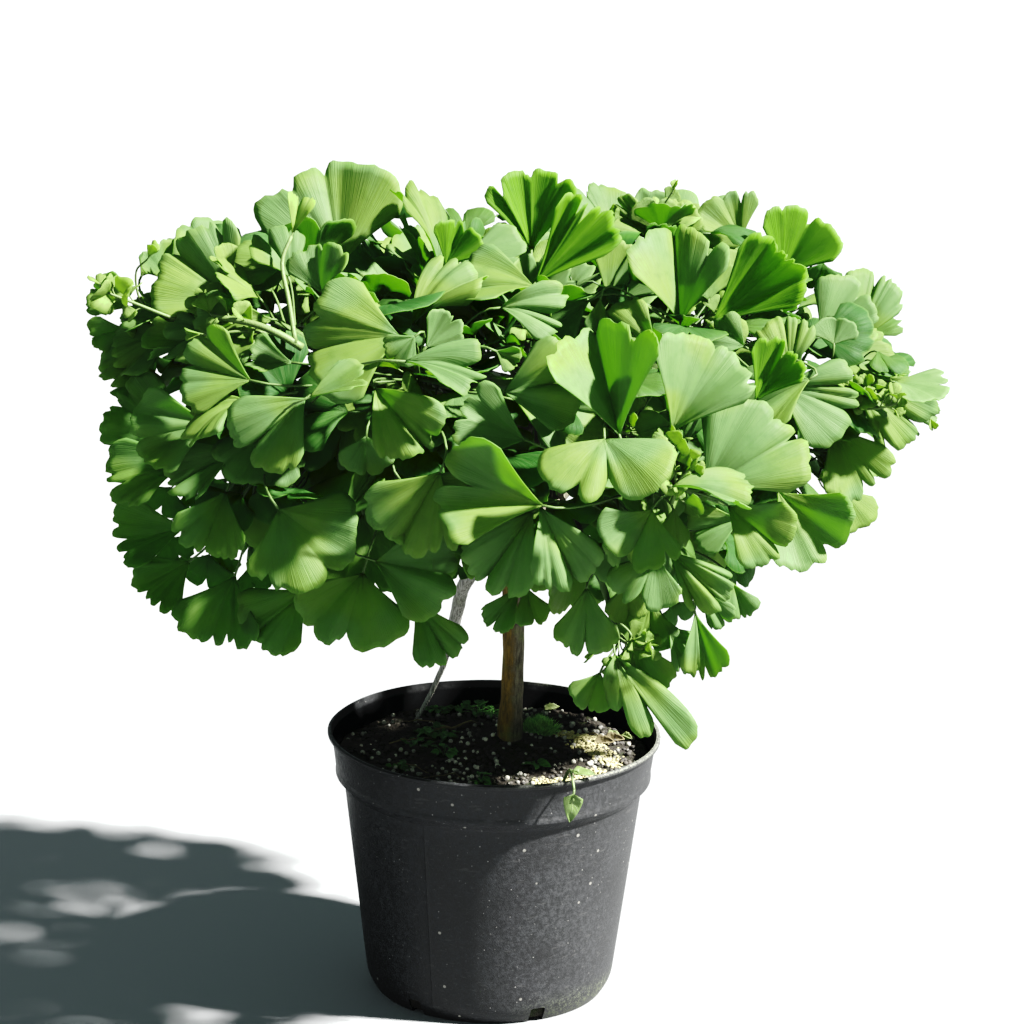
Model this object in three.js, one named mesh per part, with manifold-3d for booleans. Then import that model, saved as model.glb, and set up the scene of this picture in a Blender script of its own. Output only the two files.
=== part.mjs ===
// A young ginkgo grown as a small umbrella-headed tree in a nursery container.
// Millimetres, +Z up. The origin is the centre of the container's underside; -Y is the front.
// Each leafy shoot is one closed solid: a green stem, its petioles and its fan blades.
import * as THREE from "three";
import { mergeVertices } from "three/addons/utils/BufferGeometryUtils.js";
import Module from "manifold-3d";

const wasm = await Module();
wasm.setup();

// ---------------------------------------------------------------- driving dimensions

const GAP = 0.3; // between pieces that touch
const SEAT = 0.35; // between a stem's cut end and the seat it stands on

const POT = {
  height: 177,
  wall: 2,
  floor: 3,
  footRadius: 77,
  heelRadius: 82.5,
  heelHeight: 9,
  waistRadius: 99.5, // top of the plain side, under the band
  bandDrop: 30, // lip down to the lower edge of the band
  bandLowRadius: 104.5,
  bandTopRadius: 108,
  lipRadius: 111,
  lipDrop: 3.5,
  chamfer: 5,
  sides: 30,
};
// Drain notches through the heel; the first stands this many degrees from the front.
const NOTCH = { count: 6, width: 10, height: 11, first: -36.5 };
const SOIL = { level: 161, mound: 6, moundReach: 34, sides: 24, rings: 4 };
// Coarse grains of the potting mix that stand out of the soil, sunk by a share of their radius.
const PRILL = { count: 14, radius: [1.3, 2.4], sink: 0.35 };

// The trunk's foot stands `depth` deep in the soil; it is straight for the share `free` of its way.
const TRUNK = { x: 10.5, y: 12, depth: 62, baseRadius: 8.8, radius: 7.3, head: 300, free: 0.36 };
// The crown's outline is a rounded box about this middle; shoots spread from a point `drop` lower.
const CROWN = { x: 8, y: 0, z: 408, wide: 288, deep: 220, tall: 132, square: 2.5, drop: 20 };

const LIMB = { count: 7, first: 24, reach: 96, rise: 58, radius: [5.6, 4.6] };
const TWIG = { radius: [2.7, 2.7], neck: 7 };
// Shoots by rule: `room` is what their outer leaves take up, `lowest` the sine of their last rise.
const SHOOT = { count: 22, lowest: -0.45, start: 0.45, room: 78, radius: [2.5, 2.0], leaves: 6 };

// `root` is the petiole's slimness where it enters the stem, `clear` the room kept round a leaf.
const BLADE = { thick: 1.0, petiole: 1.8, root: 0.7, clear: 1.1 };
const LEAF = { least: 38, most: 58, petiole: [30, 58], tries: 60, listed: 1.07 };
const GOLDEN = 137.508; // degrees from one shoot or leaf to the next

// A viewer in front looks down by `pitch`, from `distance`, at a sheet through the container's
// foot. The middle of the view is at u, v on it. The tree leans to the right by `roll`, its foot
// stands `shift` left of u = 0, and one unit on the sheet is `scale` millimetres.
const VIEW = { pitch: 15, distance: 2400, u: 12, v: 313, roll: 1.2, shift: 3.4, scale: 1.01 };

// Shoots with a place of their own on the sheet: from u, v, depth to u, v, depth.
const NAMED_SHOOTS = [
  [-128, 430, 0.22, -180, 449, 0.2], // long green shoot at the left
  [-140, 428, 0.5, -226, 440, 0.42], // left tip
  [172, 386, 0.4, 256, 398, 0.4], // right tip
  [98, 455, 0.42, 108, 500, 0.4], // top tip
  [60, 316, 0.2, 122, 330, 0.06], // toward the viewer
  [66, 282, 0.3, 84, 226, 0.24], // hangs lowest
];

// Leaves that make the near face and the outline. Each row: u, v, depth (0 near side of the
// crown, 1 far side), angle of the axis on the sheet (right 0, up 90), reach, half spread, then
// if not usual: lean of the axis to the viewer, turn of the face about it, fold, cleft.
const LEAVES = [
  // top left, with the largest fan of all
  [-103, 478, 0.3, 101, 63, 60, 0, 0, 0.15, 0.1],
  [-170, 451, 0.3, 140, 56, 50, 5],
  [-130, 476, 0.25, 185, 41, 36, 10, 50],
  [-115, 459, 0.12, 90, 30, 58, 0, -30],
  [-144, 495, 0.25, 65, 27, 25],
  // top middle
  [25, 488, 0.38, 90, 49, 44, 0, 0, 0.1, 0.05],
  [-38, 480, 0.3, 108, 50, 36, 0, 60],
  [-33, 478, 0.22, 60, 28, 45],
  [-23, 480, 0.3, 10, 40, 45, 10, -55],
  [27, 466, 0.2, 47, 60, 26, 5, 0, 0.1, 0.05],
  [76, 452, 0.25, 60, 38, 45],
  [-55, 438, 0.14, 50, 50, 36, 5, -50],
  [27, 464, 0.12, 175, 47, 50, 5, 50],
  [4, 450, 0.08, -5, 38, 38, 15, -20, 0.2, 0.4],
  [64, 455, 0.15, 215, 38, 36, 10, 20],
  [71, 456, 0.1, -95, 20, 30],
  // middle
  [-63, 431, 0.04, 180, 54, 60, 5, 20],
  [-46, 423, 0.06, 45, 24, 40],
  [-53, 431, 0.05, 225, 19, 48],
  [-60, 414, 0.05, -10, 44, 36, 15, -45],
  [6, 393, 0.05, 10, 44, 46, 15, 0, 0.1, 0.35],
  [14, 388, 0.14, -10, 54, 46],
  [1, 421, 0.05, -30, 15, 40],
  [21, 361, 0.06, 160, 42, 42],
  [-80, 396, 0.06, -50, 47, 36, 25],
  // left
  [-150, 442, 0.2, 200, 44, 48, 10, 20],
  [-163, 401, 0.08, 165, 40, 50],
  [-163, 386, 0.1, 200, 42, 40, 15, 60],
  [-127, 389, 0.04, 222, 46, 44, 20, 0, 0.3, 0.3],
  [-124, 390, 0.06, 20, 34, 36, 10, -50],
  [-135, 413, 0.1, 175, 27, 36, 10, 40],
  [-246, 450, 0.4, 150, 26, 45],
  [-248, 436, 0.4, 195, 22, 40],
  [-218, 442, 0.3, 175, 29, 40, 5, 50],
  [-194, 432, 0.25, 200, 36, 40, 10, 60],
  [-210, 437, 0.35, 205, 45, 40, 10, 50],
  [-237, 471, 0.4, 55, 15, 40],
  [-213, 362, 0.4, 150, 45, 48],
  [-202, 344, 0.25, 195, 50, 30, 10, 30],
  [-190, 372, 0.15, 190, 46, 44, 10, 10],
  [-170, 354, 0.15, 200, 46, 36, 10, 30],
  [-180, 327, 0.15, 250, 40, 42],
  [-207, 303, 0.3, 190, 42, 38, 10, 20],
  [-204, 280, 0.35, 215, 36, 44],
  // lower left
  [-145, 315, 0.03, -50, 49, 66, 15, 0, 0.1, 0.1],
  [-103, 307, 0.1, 50, 34, 24],
  [-88, 312, 0.25, -80, 48, 50],
  [-86, 364, 0.08, -90, 22, 60],
  [-125, 261, 0.08, 220, 43, 42, 15],
  [-174, 270, 0.2, -110, 45, 45],
  [-88, 272, 0.06, -105, 47, 62, 15, 0, 0.1, 0.2],
  [-80, 280, 0.14, -10, 47, 52],
  [-63, 334, 0.1, -45, 40, 52],
  [-53, 253, 0.2, -60, 40, 32],
  [-110, 360, 0.22, -60, 38, 50],
  [-36, 340, 0.1, -120, 48, 50],
  // top right
  [105, 500, 0.35, 150, 29, 34],
  [115, 495, 0.4, 60, 26, 45],
  [115, 521, 0.4, 45, 10, 50],
  [166, 495, 0.4, 115, 31, 50],
  [193, 471, 0.4, 65, 43, 46],
  [125, 440, 0.12, 93, 54, 42, 5, 0, 0.8, 0.1], // a cup on a stalk
  [146, 440, 0.15, 40, 61, 30, 5, 0, 0.1, 0.1],
  // right
  [218, 431, 0.3, 45, 38, 52],
  [228, 425, 0.2, 85, 17, 70],
  [241, 424, 0.4, 70, 45, 34],
  [215, 421, 0.25, -10, 50, 36, 5, -50],
  [238, 404, 0.3, -35, 54, 34],
  [275, 384, 0.5, -15, 21, 26],
  [225, 371, 0.35, -60, 46, 38],
  [190, 327, 0.12, -50, 50, 46],
  [141, 329, 0.03, 45, 60, 48, 10, 0, 0.1, 0.1],
  [175, 387, 0.12, 60, 38, 34],
  [198, 407, 0.2, 95, 32, 42],
  [190, 398, 0.18, -20, 46, 46],
  [212, 402, 0.15, 200, 40, 44, 10, 30],
  [104, 400, 0.2, -60, 40, 44],
  [168, 424, 0.15, 150, 22, 50],
  [119, 367, 0.04, 62, 56, 40, 5, 0, 0.5, 0.1],
  [84, 364, 0.03, 103, 62, 36, 5, 0, 0.8, 0.1], // folded like an open book
  [108, 424, 0.12, 150, 32, 48],
  [121, 369, 0.0, 180, 22, 48, 10, 40],
  // lower right
  [33, 317, 0.0, 165, 60, 38, 10, -10, 0.3, 0.3],
  [31, 316, 0.05, -65, 46, 34, 15],
  [26, 313, 0.1, -125, 49, 40, 15],
  [74, 362, 0.0, -85, 45, 78, 40, 0, 0.1, 0.45],
  [70, 322, 0.1, -30, 44, 50],
  [119, 330, 0.0, -5, 45, 40, 10, -60],
  [106, 315, 0.0, -115, 35, 62, 20, 0, 0.2, 0.3],
  [157, 317, 0.05, -40, 40, 40, 15],
  [165, 308, 0.1, 195, 29, 40],
  [108, 285, 0.04, -110, 34, 52, 20, 0, 0.2, 0.35],
  [117, 287, 0.05, -45, 42, 28, 15],
  [138, 260, 0.12, -50, 25, 28],
  [160, 265, 0.2, -75, 22, 44],
  [105, 253, 0.1, -105, 29, 60],
  [135, 245, 0.15, -80, 38, 28],
  [117, 236, 0.25, -48, 30, 38],
  [62, 262, 0.12, -92, 38, 38],
  [92, 230, 0.22, -75, 38, 40],
  [81, 217, 0.15, -66, 68, 27, 10, 0, 0.1, 0.55], // hangs lowest, two long lobes
  [71, 205, 0.25, -110, 23, 52],
  [17, 263, 0.5, -125, 30, 26],
  [21, 263, 0.55, -75, 24, 36],
];
const BARE = { radius: 95, below: 292 }; // no leaf by rule grows this near the trunk, this low
const USUAL = { lean: 10, turn: 0, fold: 0.2, cleft: 0.15 };

// ---------------------------------------------------------------- small helpers

const V = (x, y, z) => new THREE.Vector3(x, y, z);
const rad = THREE.MathUtils.degToRad;
const lerp = THREE.MathUtils.lerp;
const UP = V(0, 0, 1);
const SUN = V(0.5, -0.5, 0.7).normalize(); // the side the leaves turn to

// A repeatable stream of numbers from 0 to 1 for one named thing.
function dice(...keys) {
  let seed = keys.reduce((h, k) => Math.imul(h ^ (k + 0x9e3779b9), 0x85ebca6b), 0x2545f491);
  return () => {
    seed = (seed + 0x6d2b79f5) | 0;
    let t = Math.imul(seed ^ (seed >>> 15), 1 | seed);
    t = (t + Math.imul(t ^ (t >>> 7), 61 | t)) ^ t;
    return ((t ^ (t >>> 14)) >>> 0) / 4294967296;
  };
}

const spread = (roll, low, high) => low + (high - low) * roll();
const wobble = (roll) => V(roll() - 0.5, roll() - 0.5, roll() - 0.5).multiplyScalar(2);
const across = (v, axis) => v.clone().addScaledVector(axis, -v.dot(axis)).normalize();
const mix = (...pairs) =>
  pairs.reduce((sum, [vector, share]) => sum.addScaledVector(vector, share), V(0, 0, 0));

// A direction at this bearing from the front (right is 90) and this height, in degrees.
const heading = (bearing, rise = 0) =>
  V(
    Math.sin(rad(bearing)) * Math.cos(rad(rise)),
    -Math.cos(rad(bearing)) * Math.cos(rad(rise)),
    Math.sin(rad(rise)),
  );

// ---------------------------------------------------------------- meshes and solids

// A mesh is { points: [Vector3], faces: [[a, b, c]] }, closed, with its faces pointing out.
function solidOf({ points, faces }) {
  const vertProperties = new Float32Array(points.flatMap((p) => [p.x, p.y, p.z]));
  const triVerts = new Uint32Array(faces.flat());
  return new wasm.Manifold(new wasm.Mesh({ numProp: 3, vertProperties, triVerts }));
}

function solidOfGeometry(geometry) {
  const bare = geometry.clone();
  bare.deleteAttribute("normal");
  bare.deleteAttribute("uv");
  const merged = mergeVertices(bare, 1e-3);
  return new wasm.Manifold(
    new wasm.Mesh({
      numProp: 3,
      vertProperties: merged.attributes.position.array,
      triVerts: new Uint32Array(merged.index.array),
    }),
  );
}

function geometryOf(solid) {
  const mesh = solid.getMesh();
  const geometry = new THREE.BufferGeometry();
  geometry.setAttribute("position", new THREE.BufferAttribute(mesh.vertProperties, 3));
  geometry.setIndex(new THREE.BufferAttribute(mesh.triVerts, 1));
  geometry.computeVertexNormals();
  return geometry;
}

// The largest single body of a solid: cuts can leave a loose scrap.
const wholeOf = (solid) =>
  solid.decompose().reduce((big, part) => (part.volume() > big.volume() ? part : big));

// Rings of points along a path, each square to it. `outline(k)` gives ring k as pairs (side, face).
function ringsAlong(path, endTangent, endSide, outline) {
  const last = path.length - 1;
  let tangent = endTangent.clone();
  let side = endSide.clone();
  const rings = [];
  for (let k = last; k >= 0; k--) {
    const to = path[Math.min(k + 1, last)];
    const from = path[Math.max(k - 1, 0)];
    const next = k === last ? tangent : to.clone().sub(from).normalize();
    side.applyQuaternion(new THREE.Quaternion().setFromUnitVectors(tangent, next));
    tangent = next;
    const face = tangent.clone().cross(side);
    rings[k] = outline(k).map(([s, f]) => mix([path[k], 1], [side, s], [face, f]));
  }
  return rings;
}

// A closed tube along a path, with flat ends. Its radius runs evenly from the first to the last.
function tube(path, radii, sides) {
  const last = path.length - 1;
  const tangent = path[last].clone().sub(path[last - 1]).normalize();
  const side = across(Math.abs(tangent.z) < 0.8 ? UP : V(1, 0, 0), tangent);
  const rings = ringsAlong(path, tangent, side, (k) => {
    const r = Array.isArray(radii) ? lerp(radii[0], radii[1], k / last) : radii(k / last);
    return Array.from({ length: sides }, (_, j) => {
      const turn = (j / sides) * Math.PI * 2;
      return [r * Math.cos(turn), r * Math.sin(turn)];
    });
  });
  const faces = [];
  for (let k = 0; k < last; k++)
    for (let j = 0; j < sides; j++) {
      const a = k * sides + j;
      const b = k * sides + ((j + 1) % sides);
      faces.push([a, b, b + sides], [a, b + sides, a + sides]);
    }
  for (let j = 1; j < sides - 1; j++) {
    faces.push([0, j + 1, j]);
    faces.push([last * sides, last * sides + j, last * sides + j + 1]);
  }
  return facingOut({ points: rings.flat(), faces });
}

// Turns every face round if the mesh encloses a negative volume.
function facingOut(mesh) {
  const volume = mesh.faces.reduce((sum, [a, b, c]) => {
    const [p, q, r] = [mesh.points[a], mesh.points[b], mesh.points[c]];
    return sum + p.dot(q.clone().cross(r));
  }, 0);
  return volume < 0 ? { points: mesh.points, faces: mesh.faces.map(([a, b, c]) => [a, c, b]) } : mesh;
}

// ---------------------------------------------------------------- keeping leaves clear

// A mesh made ready for crossing tests: flat numbers, a box for the whole and for each face.
function obstacle(mesh) {
  const tris = mesh.faces.map((f) => {
    const [a, b, c] = f.map((i) => mesh.points[i]);
    return { a, b, c, box: new THREE.Box3().setFromPoints([a, b, c]) };
  });
  const seen = new Set();
  const edges = [];
  for (const f of mesh.faces)
    for (let j = 0; j < 3; j++) {
      const [p, q] = [f[j], f[(j + 1) % 3]];
      const key = p < q ? p * 65536 + q : q * 65536 + p;
      if (seen.has(key)) continue;
      seen.add(key);
      const [a, b] = [mesh.points[p], mesh.points[q]];
      edges.push({ a, b, box: new THREE.Box3().setFromPoints([a, b]) });
    }
  return { tris, edges, box: new THREE.Box3().setFromPoints(mesh.points) };
}

// Vectors that the test below uses over and over, so that it makes none of its own.
const [d, e1, e2, p, s, q] = Array.from({ length: 6 }, () => V(0, 0, 0));

// Whether an edge passes through a face, by Moller and Trumbore's test.
function edgeMeetsFace(edge, tri) {
  d.subVectors(edge.b, edge.a);
  e1.subVectors(tri.b, tri.a);
  e2.subVectors(tri.c, tri.a);
  p.crossVectors(d, e2);
  const det = e1.dot(p);
  if (Math.abs(det) < 1e-12) return false;
  s.subVectors(edge.a, tri.a);
  const u = s.dot(p) / det;
  if (u < 0 || u > 1) return false;
  q.crossVectors(s, e1);
  const v = d.dot(q) / det;
  if (v < 0 || u + v > 1) return false;
  const t = e2.dot(q) / det;
  return t >= 0 && t <= 1;
}

function crosses(one, other) {
  if (!one.box.intersectsBox(other.box)) return false;
  for (const [x, y] of [[one, other], [other, one]])
    for (const edge of x.edges) {
      if (!edge.box.intersectsBox(y.box)) continue;
      for (const tri of y.tris)
        if (edge.box.intersectsBox(tri.box) && edgeMeetsFace(edge, tri)) return true;
    }
  return false;
}

// ---------------------------------------------------------------- a leaf

// The margin of a fan blade, as [turn from the middle, reach, height] for each of its points.
// Two lobes meet at a cleft in the middle; the blade may be folded, cupped or waved.
function margin({ reach, half, fold, cup, wave, cleft, roll, points }) {
  const marks = { 5: [0, 0.45, 1], 7: [0, 0.2, 0.6, 1], 9: [0, 0.13, 0.42, 0.7, 1] }[points];
  const stops = [...marks.slice(1).reverse().map((m) => -m), ...marks];
  const phase = roll() * 6.28;
  return stops.map((m) => {
    const inCleft = m === 0;
    const round = 0.88 + 0.12 * Math.sqrt(1 - m * m * 0.98);
    const length = reach * (inCleft ? 1 - cleft : round * (1 + 0.09 * (roll() - 0.5)));
    const height = fold * Math.abs(m) + cup * m * m + wave * Math.sin(2.6 * Math.PI * m + phase);
    return [m * rad(half), length, length * (height - 0.4 * fold - 0.3 * cup)];
  });
}

// One leaf as one closed mesh: three-sided rings make the petiole, and the last ring opens into
// the blade. `thick` and `petiole` are its sizes; a fatter copy serves to test for crossings.
function leafMesh(leaf, thick = BLADE.thick, petiole = BLADE.petiole) {
  const { root, bend, junction, axis, face, rim } = leaf;
  const side = face.clone().cross(axis);
  const high = petiole * Math.sqrt(3) / 6;
  const triangle = [[-petiole / 2, high], [petiole / 2, high], [0, -2 * high]];
  const path = bend ? [root, bend, junction] : [root, junction];
  const last = path.length - 1;
  const slim = triangle.map(([s, f]) => [s * BLADE.root, f * BLADE.root]);
  const rings = ringsAlong(path, axis, side, (k) => (k ? triangle : slim));
  const points = rings.flat();
  const at = (ring, corner) => ring * 3 + corner;
  const faces = [[at(0, 0), at(0, 1), at(0, 2)]];
  for (let ring = 0; ring < last; ring++)
    for (let j = 0; j < 3; j++) {
      const next = (j + 1) % 3;
      faces.push([at(ring + 1, j), at(ring + 1, next), at(ring, next)]);
      faces.push([at(ring + 1, j), at(ring, next), at(ring, j)]);
    }
  const [left, right, keel] = [at(last, 0), at(last, 1), at(last, 2)];
  const first = points.length;
  for (const [turn, length, height] of rim) {
    const p = mix([junction, 1], [axis, length * Math.cos(turn)], [side, length * Math.sin(turn)]);
    p.addScaledVector(face, height + thick / 2);
    points.push(p, p.clone().addScaledVector(face, -thick));
  }
  const top = (i) => first + 2 * i;
  const under = (i) => first + 2 * i + 1;
  const end = rim.length - 1;
  const middle = end / 2;
  for (let i = 0; i < end; i++) {
    faces.push([i < middle ? left : right, top(i), top(i + 1)]);
    faces.push([keel, under(i + 1), under(i)]);
    faces.push([top(i), under(i), under(i + 1)], [top(i), under(i + 1), top(i + 1)]);
  }
  faces.push([left, top(middle), right]);
  faces.push([left, keel, under(0)], [left, under(0), top(0)]);
  faces.push([right, top(end), under(end)], [right, under(end), keel]);
  return { points, faces, petiole: { points: 3 * path.length, faces: 6 * last + 1 } };
}

// ---------------------------------------------------------------- the container and its soil

// The outer side of the container from the underside up, as [radius, height].
function potOutside() {
  const { height, bandDrop, lipDrop, chamfer } = POT;
  const bandLow = height - bandDrop;
  return [
    [POT.footRadius, 0],
    [POT.heelRadius, POT.heelHeight],
    [POT.waistRadius, bandLow - chamfer],
    [POT.bandLowRadius, bandLow],
    [POT.bandTopRadius, height - lipDrop],
    [POT.lipRadius, height - lipDrop + 0.6],
    [POT.lipRadius, height],
  ];
}

// Inner radius of the container at a height.
function potInside(z) {
  const wall = potOutside();
  const k = wall.findIndex(([, h], i) => i > 0 && h >= z);
  const [[r0, z0], [r1, z1]] = [wall[k - 1], wall[k]];
  return lerp(r0, r1, (z - z0) / (z1 - z0)) - POT.wall;
}

function lathe(profile, sides) {
  const points = profile.map(([r, z]) => new THREE.Vector2(r, z));
  return solidOfGeometry(new THREE.LatheGeometry(points, sides).rotateX(Math.PI / 2));
}

function makePot() {
  const { height, bandDrop, chamfer, floor, wall } = POT;
  const inside = [
    [POT.lipRadius - 3.2, height],
    [potInside(height - bandDrop), height - bandDrop],
    [POT.waistRadius - wall, height - bandDrop - chamfer],
    [POT.heelRadius - wall, floor + 6],
    [POT.heelRadius - wall - 2, floor],
  ];
  let pot = lathe([[0, 0], ...potOutside(), ...inside, [0, floor]], POT.sides);
  const notch = new THREE.BoxGeometry(NOTCH.width, 26, NOTCH.height * 2);
  for (let k = 0; k < NOTCH.count; k++) {
    const bearing = NOTCH.first + (360 / NOTCH.count) * k;
    const place = heading(bearing).multiplyScalar(POT.heelRadius + 3);
    const turned = notch.clone().rotateZ(rad(bearing)).translate(place.x, place.y, 0);
    pot = pot.subtract(solidOfGeometry(turned));
  }
  return pot;
}

// Height of the soil's crumbly surface, mounded round the trunk.
function soilHeight(x, y) {
  const away = Math.hypot(x - TRUNK.x, y - TRUNK.y) / SOIL.moundReach;
  const crumbs = Math.sin(0.11 * x + 1.3) * Math.cos(0.13 * y) + 0.6 * Math.sin(0.23 * (x + y));
  return SOIL.level + SOIL.mound * Math.exp(-away * away) + 1.1 * crumbs;
}

function makeSoil(raise = 0) {
  const low = POT.floor + GAP;
  const points = [V(0, 0, low)];
  const faces = [];
  const { sides, rings } = SOIL;
  const ring = (z, radius) => {
    for (let j = 0; j < sides; j++) {
      const turn = (j / sides) * Math.PI * 2;
      const [x, y] = [radius * Math.cos(turn), radius * Math.sin(turn)];
      points.push(V(x, y, z ?? soilHeight(x, y) + raise));
    }
  };
  const shrink = Math.cos(Math.PI / POT.sides); // the container's flats come inside its corners
  const fill = (z) => potInside(z) * shrink - GAP;
  const corner = low + 5.5;
  const waist = POT.height - POT.bandDrop - POT.chamfer;
  const shoulder = POT.height - POT.bandDrop;
  ring(low, fill(corner) - 2.5);
  ring(corner, fill(corner) - 0.4);
  ring(waist, fill(waist) - 0.2);
  ring(shoulder, fill(shoulder) - 0.6);
  ring(null, fill(SOIL.level) - 1.6);
  for (let k = rings - 1; k > 0; k--) ring(null, (fill(SOIL.level) * k) / rings);
  points.push(V(0, 0, soilHeight(0, 0) + raise));
  const levels = 4 + rings;
  const at = (level, j) => 1 + level * sides + (j % sides);
  const tip = points.length - 1;
  for (let j = 0; j < sides; j++) {
    faces.push([0, at(0, j + 1), at(0, j)]);
    faces.push([tip, at(levels - 1, j), at(levels - 1, j + 1)]);
    for (let level = 0; level < levels - 1; level++) {
      faces.push([at(level, j), at(level, j + 1), at(level + 1, j + 1)]);
      faces.push([at(level, j), at(level + 1, j + 1), at(level + 1, j)]);
    }
  }
  let soil = solidOf({ points, faces });
  const roll = dice(7, 1);
  const keep = potInside(SOIL.level) - 8;
  for (let k = 0; k < PRILL.count; k++) {
    const away = keep * Math.sqrt(roll());
    const turn = roll() * Math.PI * 2;
    const radius = spread(roll, ...PRILL.radius);
    const [x, y] = [away * Math.cos(turn), away * Math.sin(turn)];
    if (Math.hypot(x - TRUNK.x, y - TRUNK.y) < TRUNK.baseRadius + 8) continue;
    const grain = new THREE.OctahedronGeometry(radius)
      .rotateZ(turn)
      .translate(x, y, soilHeight(x, y) + radius * PRILL.sink + raise);
    soil = soil.add(solidOfGeometry(grain));
  }
  return soil;
}

// ---------------------------------------------------------------- the wood

// The point at a share of the way from the crown's middle to its outline, in the direction of a
// bearing and a rise in degrees.
function onCrown(bearing, rise, share) {
  const d = heading(bearing, rise);
  const level = Math.hypot(d.x / CROWN.wide, d.y / CROWN.deep);
  const size = (level ** CROWN.square + Math.abs(d.z / CROWN.tall) ** CROWN.square) ** (1 / CROWN.square);
  return V(CROWN.x, CROWN.y, CROWN.z).addScaledVector(d, share / size);
}

// The place at `u` to the right and `v` up on the viewer's sheet: `depth` runs from 0 at the
// crown's near side to 1 at its far side.
const LEVEL = V(1, 0, 0);
const RISE = heading(180, 90 - VIEW.pitch);
const TOWARD = heading(0, VIEW.pitch);
const SHEET_U = LEVEL.clone().applyAxisAngle(TOWARD, rad(VIEW.roll));
const SHEET_V = RISE.clone().applyAxisAngle(TOWARD, rad(VIEW.roll));
const onSheet = (u, v) => mix([SHEET_U, (u + VIEW.shift) * VIEW.scale], [SHEET_V, v * VIEW.scale]);
const EYE = onSheet(VIEW.u, VIEW.v).addScaledVector(TOWARD, VIEW.distance);

function seen(u, v, depth) {
  const ray = onSheet(u, v).sub(EYE);
  const scaled = (p) => V(p.x / CROWN.wide, p.y / CROWN.deep, p.z / CROWN.tall);
  const from = scaled(EYE.clone().sub(V(CROWN.x, CROWN.y, CROWN.z)));
  const along = scaled(ray);
  const middle = -from.dot(along) / along.lengthSq();
  const miss = from.clone().addScaledVector(along, middle).lengthSq();
  const half = Math.sqrt(Math.max(0.02, 1 - miss)) / along.length();
  return mix([EYE, 1], [ray, middle + half * (2 * depth - 1)]);
}

// The place at u, v on the sheet that lies at this y.
function seenAt(u, v, y) {
  const ray = onSheet(u, v).sub(EYE);
  return mix([EYE, 1], [ray, (y - EYE.y) / ray.y]);
}

// 1 on the crown's outline, less inside it.
function crownShare(p) {
  const level = Math.hypot((p.x - CROWN.x) / CROWN.wide, (p.y - CROWN.y) / CROWN.deep);
  return level ** CROWN.square + Math.abs((p.z - CROWN.z) / CROWN.tall) ** CROWN.square;
}

const crownNormal = (p) =>
  V(
    (p.x - CROWN.x) / CROWN.wide ** 2,
    (p.y - CROWN.y) / CROWN.deep ** 2,
    (p.z - CROWN.z) / CROWN.tall ** 2,
  ).normalize();

const curve = (a, b, c, steps) => new THREE.QuadraticBezierCurve3(a, b, c).getPoints(steps);

const HEAD = V(TRUNK.x, TRUNK.y, TRUNK.head);
const FOOT = V(TRUNK.x, TRUNK.y, SOIL.level - TRUNK.depth);

// The limbs leave the head of the trunk like the ribs of an umbrella, and one goes straight on up.
function limbLines() {
  const lines = [];
  for (let k = 0; k < LIMB.count; k++) {
    const out = heading(LIMB.first + (360 / LIMB.count) * k);
    const low = HEAD.clone().addScaledVector(UP, -6 + 3 * (k % 3));
    const elbow = mix([low, 1], [out, LIMB.reach * 0.45], [UP, LIMB.rise * 0.75]);
    lines.push([low, elbow, mix([low, 1], [out, LIMB.reach], [UP, LIMB.rise])]);
  }
  lines.push([HEAD, mix([HEAD, 1], [UP, 50], [V(1, 0, 0), 6]), mix([HEAD, 1], [UP, 96])]);
  return lines.map(([a, b, c]) => new THREE.QuadraticBezierCurve3(a, b, c));
}
const LIMBS = limbLines();

const LIMB_MESHES = LIMBS.map((limb) => tube(limb.getPoints(4), LIMB.radius, 5));

function shootLine(start, tip) {
  const middle = mix([start, 0.5], [tip, 0.5], [UP, 0.1 * start.distanceTo(tip)]);
  return new THREE.QuadraticBezierCurve3(start, middle, tip);
}
const stemMesh = (line, extra = 0) => tube(line.getPoints(4), SHOOT.radius.map((r) => r + extra), 3);

// Leafy shoots share the crown evenly: each turns by the golden angle from the one before, and
// stops short of the crown's outline by the room its leaves take. Each starts far enough out to
// be clear of the limbs and of the shoots before it.
function shootLines() {
  const lines = NAMED_SHOOTS.map(([u0, v0, depth0, u1, v1, depth1]) =>
    shootLine(seen(u0, v0, depth0), seen(u1, v1, depth1)),
  );
  const blocks = [...LIMB_MESHES, ...lines.map((line) => stemMesh(line))].map(obstacle);
  const heart = V(CROWN.x, CROWN.y, CROWN.z - CROWN.drop);
  for (let k = 0; k < SHOOT.count; k++) {
    const rise = THREE.MathUtils.radToDeg(Math.asin(lerp(0.97, SHOOT.lowest, k / (SHOOT.count - 1))));
    const surface = onCrown(k * GOLDEN + 40, rise, 1).sub(heart);
    const reach = surface.clone().setLength(surface.length() - SHOOT.room);
    for (let share = SHOOT.start; share < 0.8; share += 0.04) {
      const line = shootLine(mix([heart, 1], [reach, share], [UP, -6]), mix([heart, 1], [reach, 1]));
      if (blocks.some((block) => crosses(obstacle(stemMesh(line, 2)), block))) continue;
      lines.push(line);
      blocks.push(obstacle(stemMesh(line)));
      break;
    }
  }
  return lines;
}
const SHOOTS = shootLines();
const STEMS = SHOOTS.map((shoot) => stemMesh(shoot));

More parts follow.
